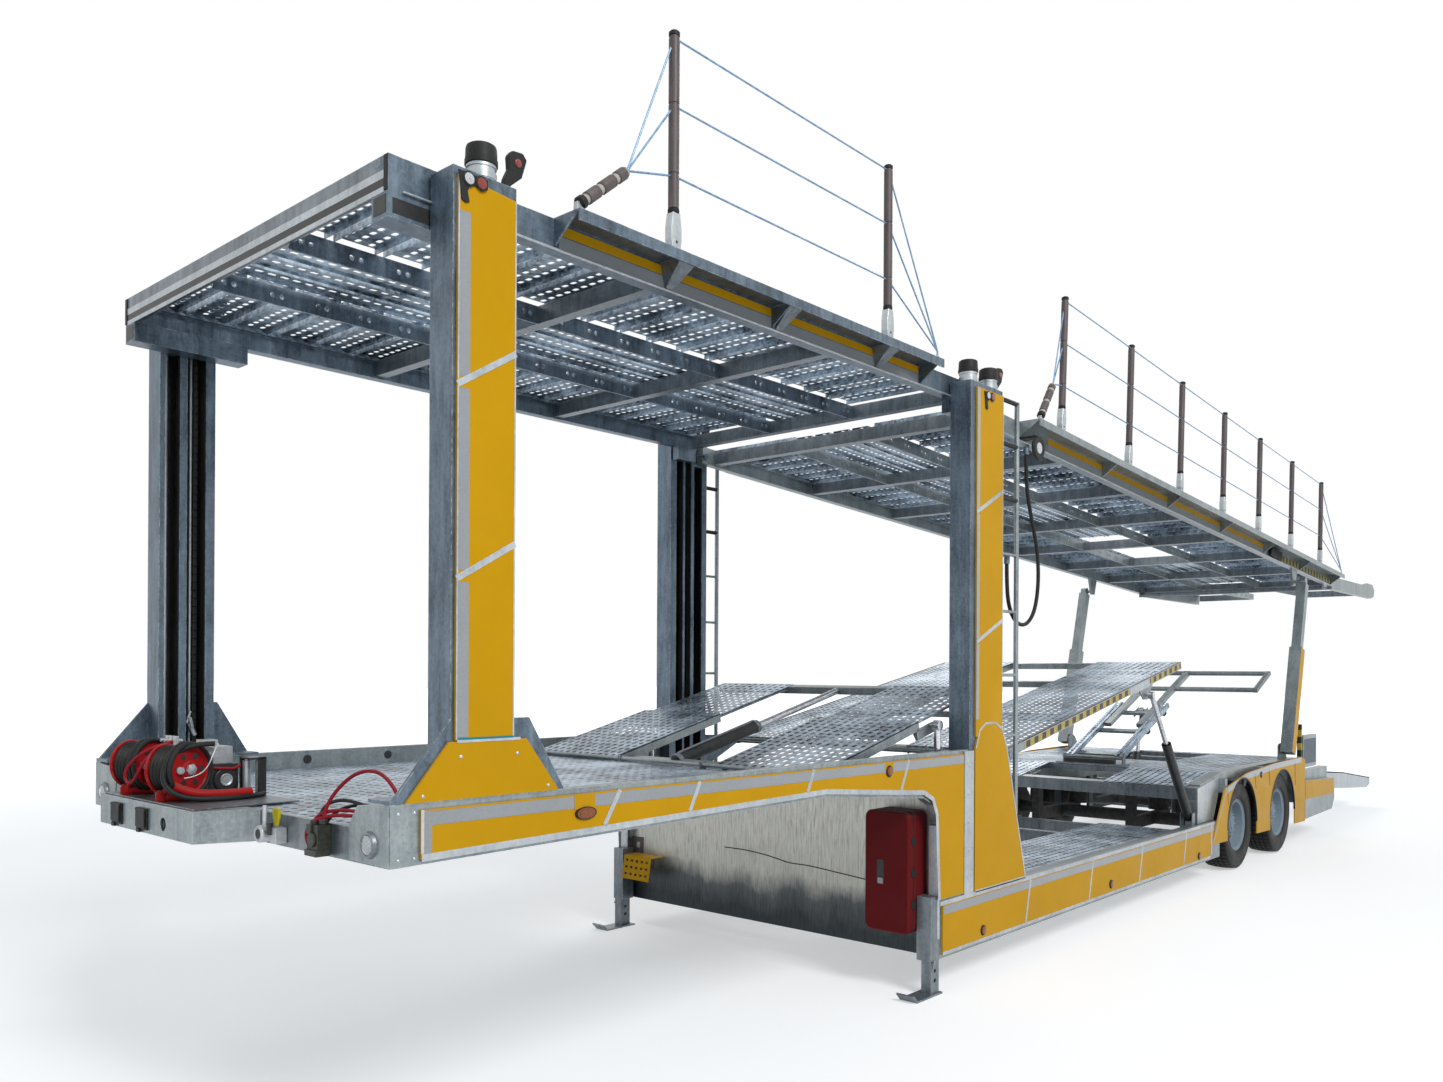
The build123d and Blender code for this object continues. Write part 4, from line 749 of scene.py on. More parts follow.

# Mast channels
# The masts' inner sides are open channels in which the decks' shoes run.
# They are lined with a thin near-black sheet with faint brown streaks, and hold the lift chains and the rods
# that stop the decks.
channel_black, tree, skin = surface("channel_black", 0.28)
channel_streaks = noise(tree, at_object(tree, (1, 1, 0.15)), 30.0, 7.0, 0.7)
channel_black_stops = [(0.35, (0.004, 0.004, 0.005)), (0.62, (0.022, 0.020, 0.018)), (0.85, (0.10, 0.085, 0.06))]
tree.links.new(ramp(tree, channel_streaks, channel_black_stops), skin.inputs["Base Color"])
tree.links.new(ramp(tree, channel_streaks, [(0.3, 0.18), (0.8, 0.55)]), skin.inputs["Roughness"])
raised(tree, skin, channel_streaks, 0.002, 0.5)
front_run, mid_run, short_run = (1.345, 3.465), (0.505, 3.445), (0.505, 3.265)
channels = [(-0.250, -0.320, *front_run), (-0.355, -0.445, *front_run), (-3.790, -3.862, *mid_run),
            (-3.880, -3.945, *mid_run), (-3.975, -4.060, *short_run)]
lining, film, mouth, back = [], 0.0015, 1.142, 1.2445
for front, rear, foot, head in channels:
    outline = [(front, mouth), (front, back), (rear, back), (rear, mouth), (rear + film, mouth),
               (rear + film, back - film), (front - film, back - film), (front - film, mouth)]
    lining.append(prism(outline, foot, head, "z"))
piece("mast_channel_black", both_sides(lining), channel_black, "chassis")
rod_places = [(-0.285, 1.215, 0.011, *front_run), (-0.400, 1.205, 0.008, *front_run),
              (-3.826, 1.190, 0.010, *mid_run), (-3.912, 1.200, 0.009, *mid_run)]
rods = [bar((x, y, foot + 0.010), (x, y, head - 0.010), r, 12) for x, y, r, foot, head in rod_places]
piece("mast_rods", both_sides(rods), bright_zinc, "chassis", smooth=True)
chain_pitch = 0.040
links = []
for x, foot, head in ((-0.425, 1.360, 3.440), (-4.035, 0.520, 3.240)):
    links += [block(x - 0.010, x + 0.010, 1.205, 1.213, z, z + chain_pitch * 0.88)
              for z in np.arange(foot, head, chain_pitch)]
piece("mast_chains", both_sides(links), black_paint, "chassis")

# Bulkhead
# One brushed plate closes the front of the well between the legs. It is scratched by hand
# and by gravel, and darker towards its foot, a painted reflection of the shaded ground.
# A thin dark line runs across it to the box.
plate, tree, skin = surface("brushed_plate", 0.34, 0.75)
height = add(tree, "SeparateXYZ", {0: at_object(tree)}).outputs["Z"]
scratch = noise(tree, at_object(tree, (1, 1, 0.08), (0.09, 0, 0)), 90.0, 7.0, 0.75)
clouds = noise(tree, at_object(tree, (1, 1, 0.5)), 3.2, 8.0, 0.65)
level = number(tree, "ADD", height, number(tree, "MULTIPLY", number(tree, "SUBTRACT", clouds, 0.5), 0.35))
# Painted reflection of the shaded ground: the plate's colour darkens towards its foot.
foot = ramp(tree, level, [(0.26, (0.045, 0.055, 0.062)), (0.40, (0.12, 0.13, 0.135)),
                          (0.52, (0.56, 0.555, 0.51)), (1.0, (0.70, 0.69, 0.64))])
marks = ramp(tree, scratch, [(0.34, (0.14, 0.14, 0.14)), (0.50, (0.70, 0.70, 0.68)), (0.80, (1.0, 1.0, 1.0))])
brushed = add(tree, "Mix", {0: 0.55, 6: foot, 7: marks}, data_type="RGBA", blend_type="MULTIPLY")
tree.links.new(brushed.outputs[2], skin.inputs["Base Color"])
tree.links.new(ramp(tree, scratch, [(0.3, 0.55), (0.7, 0.24)]), skin.inputs["Roughness"])
raised(tree, skin, scratch, 0.0008, 0.35)
coat(plate, "bulkhead")


def drawn_line(name, lines, r, material, body, curl=4):
    """Smooth round lines: each is a spline with its points as control points and both ends reached."""
    curve = bpy.data.curves.new(name, "CURVE")
    curve.dimensions = "3D"
    for points in lines:
        run = curve.splines.new("NURBS")
        run.points.add(len(points) - 1)
        placed_points = np.column_stack([np.array(points, float) + (station_0, 0, 0), np.ones(len(points))])
        run.points.foreach_set("co", placed_points.ravel())
        run.order_u = min(curl, len(points))
        run.use_endpoint_u = True
        run.resolution_u = 8
    curve.bevel_depth, curve.bevel_resolution = r, 3
    curve.use_fill_caps = True
    curve.materials.append(material)
    thing = bpy.data.objects.new(name, curve)
    bpy.context.scene.collection.objects.link(thing)
    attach(thing, body)
    return thing


face_x = -3.440
across = [(-0.342, 0.630), (-0.210, 0.632), (-0.092, 0.627), (0.060, 0.612), (0.190, 0.588), (0.333, 0.593),
          (0.560, 0.575), (0.735, 0.563), (0.880, 0.548)]
drawn_line("bulkhead_line", [[(face_x, y, z) for y, z in across]], 0.0035, black_paint, "chassis",
           3)

# Fire extinguisher box
# A moulded red box hangs on the bulkhead beside the left leg. It has a lid with round corners,
# three black latches and a small window with a dark glass.
red_plastic = painted("red_plastic", (0.15, 0.006, 0.009), 0.42, wear=0)


def round_corners(a0, a1, b0, b1, r, steps=6):
    """Rectangle whose corners are quarter circles of radius r."""
    angle = np.linspace(0, np.pi / 2, steps)
    quarter = np.column_stack([np.cos(angle), np.sin(angle)]) * r
    ring = [quarter + (a1 - r, b1 - r), quarter[::-1] * (-1, 1) + (a0 + r, b1 - r),
            quarter * (-1, -1) + (a0 + r, b0 + r), quarter[::-1] * (1, -1) + (a1 - r, b0 + r)]
    return np.vstack(ring)


case_front, lid_seam, case_y, case_z, case_r = -3.250, -3.300, (0.876, 1.168), (0.328, 1.000), 0.045
outline = round_corners(*case_y, *case_z, case_r)
case = [prism(outline, face_x, lid_seam - 0.004, "x"), prism(outline, lid_seam, case_front, "x")]
piece("box_case", case, red_plastic, "chassis", ["extinguisher_box"], rounded=0.010)
(near, far), (foot, head), inset = case_y, case_z, 0.004
outline = round_corners(near + inset, far - inset, foot + inset, head - inset, case_r)
seam = prism(outline, lid_seam - 0.012, lid_seam + 0.006, "x")
back, front = lid_seam - 0.018, lid_seam + 0.020
latches = [block(back, front + 0.004, far - 0.012, far + 0.006, z - 0.022, z + 0.022)
           for z in (0.839, 0.664, 0.490)]
latches += [block(back, front, near - 0.008, near + 0.006, z - 0.030, z + 0.030) for z in (0.500, 0.840)]
piece("box_latches", [seam] + latches, rubber, "chassis", rounded=0.003)
window = prism(round_corners(0.960, 1.005, 0.590, 0.725, 0.006), case_front - 0.004, case_front + 0.001, "x")
piece("box_window", [window], black_paint, "chassis")
pane = prism(round_corners(0.965, 1.000, 0.594, 0.625, 0.004), case_front, case_front + 0.002, "x")
piece("box_pane", [pane], grey_film, "chassis")

# Railings
# Steel posts stand in folded sockets on the ledge of the left walkway. Each has a brown plastic sleeve in
# lengths, with dark rings between. Three wire ropes run through the posts to a tensioner at the front;
# their blue is a painted reflection of the sky.
browns = [(0.30, (0.060, 0.046, 0.046)), (0.55, (0.115, 0.088, 0.088)), (0.80, (0.20, 0.16, 0.155))]
sleeve_brown = stained("sleeve_plastic", 0.5, (26.0, 7.0, 0.7), browns, stretch=(1, 1, 0.2),
                       gloss=[(0.3, 0.38), (0.8, 0.62)], grain=(180.0, 0.0005))
# The wires' blue is a painted reflection of the sky.
wire_sky_blue, tree, skin = surface("wire_rope", 0.35, 0.35)
painted_sky_blues = ramp(tree, noise(tree, at_object(tree), 30.0, 6.0),
             [(0.35, (0.16, 0.30, 0.48)), (0.7, (0.36, 0.54, 0.74))])
tree.links.new(painted_sky_blues, skin.inputs["Base Color"])
twist = at_object(tree, turn=(0.4, 0.5, 0))
strands = add(tree, "TexWave", {"Vector": twist, "Scale": 120.0}, bands_direction="DIAGONAL")
raised(tree, skin, strands.outputs["Fac"], 0.0008, 0.6)
rail_y, post_top, post_r, wire_r = 1.242, 0.900, 0.023, 0.0044
level_deck, sloped_deck = (np.array((0.0, 0, deck_1_top)), REARWARD), (deck_2_start, deck_2_way)


def on_deck(place, shapes):
    """Shapes modelled on a level deck, carried to the start and slope of a real one."""
    start, way = place
    return [laid(shape, start, -way, Y_WAY) for shape in shapes]


def along_deck_2(*stations):
    """Places along deck 2 of some stations, measured forward from its front end."""
    return [(x - deck_2_start[0]) / math.cos(slope) for x in stations]


def socket(x):
    """Folded foot of a post: it widens at the knee and narrows to the ring above."""
    half = [(0.024, 0), (0.030, 0.040), (0.030, 0.090), (0.021, 0.150)]
    outline = [(x - w, z) for w, z in half] + [(x + w, z) for w, z in half[::-1]]
    return prism(outline, rail_y - 0.020, rail_y + 0.020)


def railing(name, posts, tensioner, ring, place, body, node):
    """Posts, wires and fittings: every part is turned about its own line, with its radii given along it."""
    up = (0, 0, 1)
    groove_r, collar_r = 0.020, 0.022
    steps = [(0, 0.019), (0.003, post_r)]
    for s in (0.137, 0.425):
        steps += [(s, post_r), (s + 0.002, groove_r), (s + 0.008, groove_r), (s + 0.010, post_r)]
    steps += [(0.700, post_r), (0.702, groove_r), (0.722, groove_r)]
    low_ring = [(0, collar_r), (0.004, 0.0245), (0.016, 0.0245), (0.020, groove_r)]
    top_ring = [(0, groove_r), (0.002, 0.0235), (0.016, 0.0235), (0.022, 0.017)]
    sleeves = [turned((x, rail_y, 0.168), up, steps, 16) for x in posts]
    rings = [turned((x, rail_y, 0.150), up, low_ring, 16) for x in posts]
    rings += [turned((x, rail_y, 0.878), up, top_ring, 16) for x in posts]
    rings += rivets([(x, 0.030) for x in posts], rail_y + 0.0195, 0.007, 0.002)
    heights = post_top * np.array((0.34, 0.66, 0.97))
    foot, fan = np.array((tensioner[0], rail_y, tensioner[1])), np.array((tensioner[2], rail_y, tensioner[3]))
    far = np.array((ring[0], rail_y, ring[1]))
    wires = []
    for z in heights:
        stops = [(x, rail_y, z) for x in posts]
        wires += [bar(a, b, wire_r, 8) for a, b in zip([fan] + stops, stops + [far])]
    wires.append(bar(far, (far[0], rail_y, 0.004), 0.006, 8))
    lean = fan - foot
    reach = float(np.linalg.norm(lean))
    for a, b in ((0.055, 0.130), (0.150, 0.235), (0.255, reach - 0.020)):
        sleeve = [(0, groove_r), (0.004, 0.025), (b - a - 0.004, 0.025), (b - a, groove_r)]
        sleeves.append(turned(foot + lean * (a / reach), lean, sleeve, 16))
    collar = [(0, 0.017), (0.004, 0.020), (reach - 0.046, 0.020), (reach - 0.036, 0.008)]
    collars = [turned(foot + lean * (0.036 / reach), lean, collar, 16)]
    end_ring = [(0, 0.018), (0.006, 0.026), (0.028, 0.026), (0.036, 0.018)]
    rings.append(turned(foot + lean * (0.004 / reach), lean, end_ring, 16))
    feet = [socket(x) for x in posts]
    clevis = [(foot[0] - 0.030, 0), (foot[0] + 0.014, 0), (foot[0] + 0.012, 0.034), (foot[0] - 0.020, 0.034)]
    feet.append(prism(clevis, rail_y - 0.012, rail_y + 0.012))
    feet.append(block(far[0] - 0.014, far[0] + 0.014, rail_y - 0.006, rail_y + 0.006, 0, 0.020))
    piece(f"{name}_sleeves", on_deck(place, sleeves), sleeve_brown, body, [node], smooth=True)
    piece(f"{name}_sockets", on_deck(place, feet), bright_zinc, body, rounded=0.002)
    piece(f"{name}_wires", on_deck(place, wires), wire_sky_blue, body, smooth=True)
    piece(f"{name}_rings", on_deck(place, rings), rubber, body, smooth=True)
    piece(f"{name}_collars", on_deck(place, collars), cream, body, smooth=True)


railing("railing_1", (-1.309, -2.900), (-0.795, 0.024, -1.047, 0.237), (-3.398, 0.045), level_deck,
        "deck_1", "deck_1_railing")
posts_2 = along_deck_2(-4.966, -6.097, -7.159, -8.213, -9.248, -10.333, -11.474)
railing("railing_2", posts_2, (-0.540, 0.024, -0.705, 0.280), (-8.330, 0.045), sloped_deck,
        "deck_2", "deck_2_railing")

# Deck edges
# Under the walkway the outer web of each upper deck has a yellow band above a grey reflective one.
# Folded brackets hold deck 1's ledge. The tail of deck 2 has black and yellow blocks behind a black clamp.
web_y, film_t = 1.122, 0.0015


def blocks(name, block_length, shift=0.0, axis="X"):
    """Even black and yellow blocks along an axis: the fraction of the length in pairs, cut at one half."""
    material, tree, skin = surface(name, 0.38)
    along = add(tree, "SeparateXYZ", {0: at_object(tree)}).outputs[axis]
    in_pairs = number(tree, "MULTIPLY", number(tree, "ADD", along, shift), 0.5 / block_length)
    pairs = number(tree, "FRACT", in_pairs)
    dark = number(tree, "GREATER_THAN", pairs, 0.5)
    dirt = noise(tree, at_object(tree), 40.0, 7.0, 0.7)
    light = ramp(tree, dirt, [(0.35, (0.36, 0.26, 0.02)), (0.65, (0.62, 0.47, 0.04))])
    shade = ramp(tree, dirt, [(0.35, (0.006, 0.006, 0.007)), (0.75, (0.035, 0.033, 0.030))])
    tree.links.new(mixed(tree, dark, light, shade), skin.inputs["Base Color"])
    tree.links.new(ramp(tree, dirt, [(0.3, 0.30), (0.8, 0.55)]), skin.inputs["Roughness"])
    raised(tree, skin, dirt, 0.0003, 0.3)
    return material


def web_band(x0, x1, low, high, y=web_y):
    """Film on the outer web of an upper deck, in the deck's own length and height."""
    return block(x0, x1, y, y + film_t, low, high)


def ledge_bracket(x):
    """Bracket under the ledge: a tapered block, wide at the ledge and narrow at the web's foot."""
    top, foot, inner_y = -0.008, -0.112, web_y + 0.010
    head = [(x + 0.050, web_y, top), (x + 0.050, 1.262, top), (x - 0.050, 1.262, top),
            (x - 0.050, web_y, top)]
    toe = [(x + 0.020, web_y, foot), (x + 0.020, inner_y, foot), (x - 0.020, inner_y, foot),
           (x - 0.020, web_y, foot)]
    faces = np.array([(0, 3, 2, 1), (4, 5, 6, 7), (0, 1, 5, 4), (1, 2, 6, 5), (2, 3, 7, 6), (3, 0, 4, 7)])
    return np.array(head + toe), [faces[:, ::-1]]


brackets = (-1.400, -2.140, -2.980)
edges = [-0.792, *brackets, -3.405]
spans_1 = [(a - 0.012, b + 0.012) for a, b in zip(edges, edges[1:])]
joints_2 = along_deck_2(*np.linspace(-5.020, -9.960, 8))
spans_2 = [(a - 0.004, b + 0.004) for a, b in zip(joints_2, joints_2[1:])]
for name, spans, place in (("deck_1", spans_1, level_deck), ("deck_2", spans_2, sloped_deck)):
    film = both_sides([web_band(a, b, -0.112, -0.060) for a, b in spans])
    band = both_sides([web_band(a, b, -0.056, -0.018) for a, b in spans])
    piece(f"{name}_grey_bands", on_deck(place, film), grey_film, name)
    piece(f"{name}_yellow_bands", on_deck(place, band), yellow, name)
for name, front, rear, place in (("deck_1", -0.120, -3.880, level_deck),
                                 ("deck_2", -0.200, -8.400, sloped_deck)):
    flange = both_sides([block(front, rear, web_y, web_y + 0.012, -0.121, -0.114)])
    piece(f"{name}_flange", on_deck(place, flange), bright_zinc, name, rounded=0.002)
# The brackets take the dull zinc; their dark tone here is partly painted shade.
folded = on_deck(level_deck, [ledge_bracket(x) for x in brackets])
piece("ledge_brackets", folded, dull_zinc, "deck_1", rounded=0.003)
deck_blocks = blocks("tail_blocks", 0.060)
a, b = along_deck_2(-10.420, -12.440)
hazard = both_sides([web_band(a, b, -0.100, -0.044, web_y + 0.004)])
piece("tail_hazard", on_deck(sloped_deck, hazard), deck_blocks, "deck_2")
front, rear = along_deck_2(-10.010, -10.400)
clamp = [(front, -0.095), (front, -0.050), (front - 0.050, -0.020), (rear, -0.020), (rear, -0.110),
         (front - 0.120, -0.110)]
shapes = both_sides([prism(clamp, web_y, web_y + 0.030)])
piece("tail_clamps", on_deck(sloped_deck, shapes), rubber, "deck_2", rounded=0.006)
# Dark discs of painted shade stand for the holes in the web.
hole_shades = [turned((x, web_y - 0.001, z), Y_WAY, [(0, 0.013), (0.0022, 0.013), (0.0026, 0.012)], 12)
         for x, z in ((-0.070, -0.025), (-0.125, -0.062), (-0.070, -0.098))]
piece("deck_2_hole_shades", on_deck(sloped_deck, both_sides(hole_shades)), black_paint, "deck_2")

# Ends of deck 1
# The front beam's hollow ends are closed by black plastic strips, and its front wall has pale lips beside a
# slot, whose dark is a thin black plate of painted shade. The shoe under each side beam is an open channel
# that runs on the mast; thin black plates of painted shade mark its mouths and a groove across the beam.
ends = both_sides([block(deck_1_front, deck_1_front + 0.004, 1.100, web_y,
                         deck_1_top - 0.121, deck_1_top - 0.002)])
piece("front_beam_ends", ends, rubber, "deck_1", rounded=0.001)
lip_depths, lip_out = ((0.050, 0.078), (0.106, 0.1245)), 0.002
lips = [block(deck_1_front, deck_1_front + lip_out, -1.098, 1.098, deck_1_top - low, deck_1_top - high)
        for high, low in lip_depths]
piece("front_beam_lips", lips, bright_zinc, "deck_1", rounded=0.0007)
# A thin black plate of painted shade stands for the slot between the lips.
slot_shade = block(deck_1_front, deck_1_front + lip_out / 2, -1.098, 1.098,
                  deck_1_top - 0.106, deck_1_top - 0.078)
piece("front_beam_slot_shade", [slot_shade], black_paint, "deck_1")
# Black plates of painted shade: a groove across the beam and the mouths of the shoes.
groove_shade = [block(deck_1_front - 0.020, deck_1_front - 0.050, -1.060, 1.060, 3.402, 3.406)]
mouth_shades = both_sides([block(deck_1_front, deck_1_front + 0.0015, 1.034, 1.110, 3.300, 3.362),
                     block(-0.085, -0.590, web_y, web_y + 0.0015, 3.300, 3.352)])
piece("shoe_mouth_shades", groove_shade + mouth_shades, black_paint, "deck_1")

# Mast tops
# A galvanised tube with a black rubber cap stands on each mast over its lift screw. On the outer face
# sit a black lamp bracket with a white and a red lens, and behind it a rubber fin with a position lamp.


def lens_plastic(name, roughness, bright, deep, cells=190.0, coat=0.6):
    """Moulded lens: each cell of a Voronoi pattern is a prism, bright at its middle and deep at its rim."""
    material, tree, skin = surface(name, roughness, Coat_Weight=coat)
    facets = add(tree, "TexVoronoi", {"Vector": at_object(tree), "Scale": cells}).outputs["Distance"]
    tree.links.new(ramp(tree, facets, [(0.0, bright), (0.8, deep)]), skin.inputs["Base Color"])
    raised(tree, skin, facets, 0.001, 0.5)
    return material


amber = lens_plastic("amber_lens", 0.22, (0.42, 0.11, 0.005), (0.17, 0.036, 0.002), coat=0.1)
red_lens = lens_plastic("red_lens", 0.16, (0.42, 0.030, 0.012), (0.17, 0.010, 0.006))
clear_lens = lens_plastic("clear_lens", 0.14, (0.80, 0.82, 0.82), (0.48, 0.50, 0.52), 160.0)
cap_y = 1.207
up = (0, 0, 1)
fins, lamp_arms, reds, whites = [], [], [], []
cap_places = [(-0.381, 3.470), (-3.800, 3.450), (-4.040, 3.450)]
tube = [(0, 0.052), (0.006, 0.052), (0.008, 0.054), (0.030, 0.054), (0.032, 0.050), (0.046, 0.050),
        (0.048, 0.0535), (0.062, 0.0535)]
cap = [(0, 0.055), (0.002, 0.058), (0.020, 0.058), (0.022, 0.056), (0.060, 0.0545), (0.068, 0.052),
       (0.072, 0.046)]
tubes = [turned((x, cap_y, top), up, tube, 32) for x, top in cap_places]
caps = [turned((x, cap_y, top + 0.058), up, cap, 32) for x, top in cap_places]
arm = [(0.016, 0.012), (-0.105, 0.012), (-0.105, -0.022), (-0.034, -0.026), (-0.022, -0.050),
       (-0.030, -0.086), (-0.014, -0.092), (0.002, -0.084), (0.006, -0.040)]
cup, fin_lens = [(0, 0.026), (0.004, 0.026), (0.006, 0.023)], [(0, 0.016), (0.003, 0.015), (0.005, 0.009)]
small_lens = [(0, 0.020), (0.0015, 0.019), (0.0030, 0.012)]
for x, z in ((-0.252, 3.440), (-3.880, 3.395)):
    lamp_arms.append(prism(np.array(arm) + (x, z), out_y + 0.0005, out_y + 0.006))
    for d, lenses in ((0.026, whites), (0.078, reds)):
        lamp_arms.append(turned((x - d, out_y + 0.004, z - 0.008), Y_WAY, cup, 24))
        lenses.append(turned((x - d, out_y + 0.0085, z - 0.008), Y_WAY, small_lens, 24))
blade = [(0.010, 0), (-0.014, 0), (-0.040, 0.070), (-0.090, 0.115), (-0.112, 0.185), (-0.094, 0.205),
         (-0.046, 0.200), (-0.026, 0.176), (-0.030, 0.128), (-0.012, 0.090)]
for x, z in ((-0.466, 3.432), (-4.104, 3.412)):
    fins.append(prism(np.array(blade) + (x, z), 1.190, 1.216))
    reds.append(turned((x - 0.068, 1.216, z + 0.160), Y_WAY, fin_lens, 20))
piece("mast_top_tubes", both_sides(tubes), bright_zinc, "chassis", ["mast_tops"], smooth=True)
piece("mast_top_caps", both_sides(caps), rubber, "chassis", smooth=True)
piece("mast_lamp_arms", both_sides(lamp_arms), rubber, "chassis", rounded=0.001)
piece("mast_fins", both_sides(fins), rubber, "chassis", rounded=0.005)
piece("mast_red_lenses", both_sides(reds), red_lens, "chassis", smooth=True)
piece("mast_white_lenses", both_sides(whites), clear_lens, "chassis", smooth=True)
sleeves = [bar((-4.112, 1.240, z), (-4.352, 1.240, z), 0.014, 12) for z in (3.420, 3.156, 2.826)]
piece("ladder_sleeves", both_sides(sleeves), rubber, "chassis", smooth=True)
sheave = [(0, 0.058), (0.002, 0.072), (0.012, 0.078), (0.022, 0.072), (0.024, 0.058), (0.020, 0.050)]
guide = [turned((-4.641, 1.226, 3.198), Y_WAY, sheave, 28), block(-4.600, -4.680, 1.122, 1.236, 3.262, 3.276)]
piece("hose_guide", guide, rubber, "deck_2", smooth=True)
disc = turned((-4.641, 1.246, 3.198), Y_WAY, [(0, 0.036), (0.003, 0.035), (0.005, 0.028)], 24)
piece("hose_guide_disc", [disc], clear_lens, "deck_2")

# Lamps
# Small amber lamps sit in black rings along the gooseneck and the sill, and a lamp in a bright rim at each
# front corner. The tail has a case at each side with a red, an amber and a clear lens.
oval_lamp = (-0.819, 1.234)
round_lamps = [(-2.883, 1.260), (-3.883, 0.272), (-5.735, 0.281), (-7.550, 0.260), (-9.257, 0.823)]
angle = np.linspace(0, 2 * np.pi, 28, endpoint=False)
oval = np.column_stack([0.052 * np.cos(angle), 0.024 * np.sin(angle)])
rim = [(0, 0.030), (0.005, 0.030), (0.008, 0.026)]
dome = [(0, 0.0235), (0.005, 0.0225), (0.007, 0.016), (0.0078, 0.006)]
rims = [prism(oval + oval_lamp, out_y, out_y + 0.007)]
rims += [turned((x, out_y, z), Y_WAY, rim, 28) for x, z in round_lamps]
steps = ((0.86, 0.0085), (0.62, 0.0105))
lenses = [prism(oval * share + oval_lamp, out_y, out_y + rise) for share, rise in steps]
lenses += [turned((x, out_y + 0.004, z), Y_WAY, dome, 28) for x, z in round_lamps]
piece("lamp_rims", both_sides(rims), rubber, "chassis", ["marker_lamps"])
piece("lamp_lenses", both_sides(lenses), amber, "chassis", smooth=True)
corner_y, corner_z = (1.149, -1.149), 1.193
rim = [(0, 0.046), (0.004, 0.046), (0.014, 0.041), (0.016, 0.036), (0.012, 0.033)]
corner_rims = [turned((0, y, corner_z), X_WAY, rim, 32) for y in corner_y]
piece("corner_lamp_rims", corner_rims, dull_zinc, "chassis", smooth=True)
dome = [(0, 0.034), (0.005, 0.032), (0.010, 0.022), (0.012, 0.008)]
corner_lenses = [turned((0.010, y, corner_z), X_WAY, dome, 32) for y in corner_y]
piece("corner_lamp_lenses", corner_lenses, clear_lens, "chassis", smooth=True)
tail_x, tail_low, tail_high = -11.980, 0.340, 0.420
cases = [block(tail_x, tail_x - 0.024, 0.900, 1.180, tail_low, tail_high)]
piece("tail_lamp_cases", both_sides(cases), rubber, "chassis", ["tail_lamps"], rounded=0.004)
tail_lenses = [("red", red_lens, 1.070, 1.172, "red_lamp"), ("amber", amber, 0.984, 1.062, "amber_lamp"),
               ("clear", clear_lens, 0.908, 0.976, None)]
for name, material, y0, y1, slot in tail_lenses:
    outline = round_corners(y0, y1, tail_low + 0.008, tail_high - 0.008, 0.012)
    lens_shape = prism(outline, tail_x - 0.024, tail_x - 0.029, "x")
    piece(f"tail_lens_{name}", both_sides([lens_shape]), material, "chassis")

# Wheels
# Road tyres with five ribs cut into blocks, on steel rims painted grey, with round hand holes and ten nuts.
# Each wheel is turned about its axle from one section for the tyre and one for the rim's dish and hub.
hub_z, rows_x = 0.398, {"front": -8.710, "rear": -9.980}
tread_r, groove_r, shoulder_r, slot_depth = 0.398, 0.387, 0.3965, 0.007
tyre_rubber = black_rubber("tyre_rubber", 0.010, 90.0)
rim_paint = painted("rim_paint", (0.25, 0.32, 0.38), 0.42, wear=0.004, mottle=0.14)
drum_stops = [(0.35, (0.020, 0.020, 0.022)), (0.75, (0.085, 0.080, 0.075))]
drum_grey = stained("drum_grey", 0.62, (22.0, 7.0, 0.7), drum_stops, grain=(90.0, 0.001), metallic=0.3)
coat(drum_grey, "axles")


def hoop(centre, section, sides=96, cut=None):
    """Ring about the axle: a closed section of (radius, Y) turned, less what cut gives for each angle."""
    radius, across = np.array(section, float).T
    angle = np.linspace(0, 2 * np.pi, sides, endpoint=False)
    r = radius[:, None] - (cut(radius, angle) if cut else np.zeros((len(radius), sides)))
    y = np.broadcast_to(across[:, None], r.shape)
    points = np.stack([centre[0] + r * np.cos(angle), y, centre[1] + r * np.sin(angle)], -1)
    row, column = np.meshgrid(np.arange(len(radius)), np.arange(sides), indexing="ij")
    here, beside = row * sides, (row + 1) % len(radius) * sides
    after = (column + 1) % sides
    skin = np.stack([here + column, beside + column, beside + after, here + after], -1)
    return points.reshape(-1, 3), [skin.reshape(-1, 4)]


def tread_cut(radius, angle):
    """Slots across the tread: every sixth step of the turn is lower where the radius is the tread's."""
    slot_here = np.arange(len(angle)) % 6 == 0
    return np.where((radius > shoulder_r)[:, None] & slot_here[None], slot_depth, 0.0)


def crowned(points, centre):
    """Tread lower towards the shoulders: its drop grows with the square of the way from its middle."""
    spoke = points[:, [0, 2]] - centre
    reach = np.linalg.norm(spoke, axis=1)
    aside = (points[:, 1] - tread_y) / tread_half
    drop = crown_drop * aside ** 2 * np.clip((reach - 0.36) / 0.03, 0, 1)
    points[:, [0, 2]] = centre + spoke * (1 - drop / reach)[:, None]
    return points


outer, inner, tread_y, tread_half, crown_drop = 1.240, 0.994, 1.117, 0.113, 0.009
tread = []
for start, end in ((1.008, 1.050), (1.058, 1.092), (1.100, 1.134), (1.142, 1.176), (1.184, 1.226)):
    tread += [(groove_r, start - 0.001), (tread_r, start), (tread_r, end), (groove_r, end + 0.001)]
inner_wall = [(0.234, 0.020), (0.250, 0.006), (0.300, 0), (0.350, 0.002), (0.380, 0.006)]
shoulder = [(shoulder_r, 1.2285), (0.3925, 1.2325), (0.386, 1.2355), (0.376, 1.238)]
outer_wall = [(0.362, 0.001), (0.345, 0), (0.343, 0.002), (0.339, 0.002), (0.337, 0), (0.310, 0.001),
              (0.275, 0.003), (0.256, 0.008), (0.254, 0.012), (0.246, 0.012), (0.234, 0.020)]
rim_back = [(0.200, 0.045), (0.226, 0.030), (0.234, 0.022)]
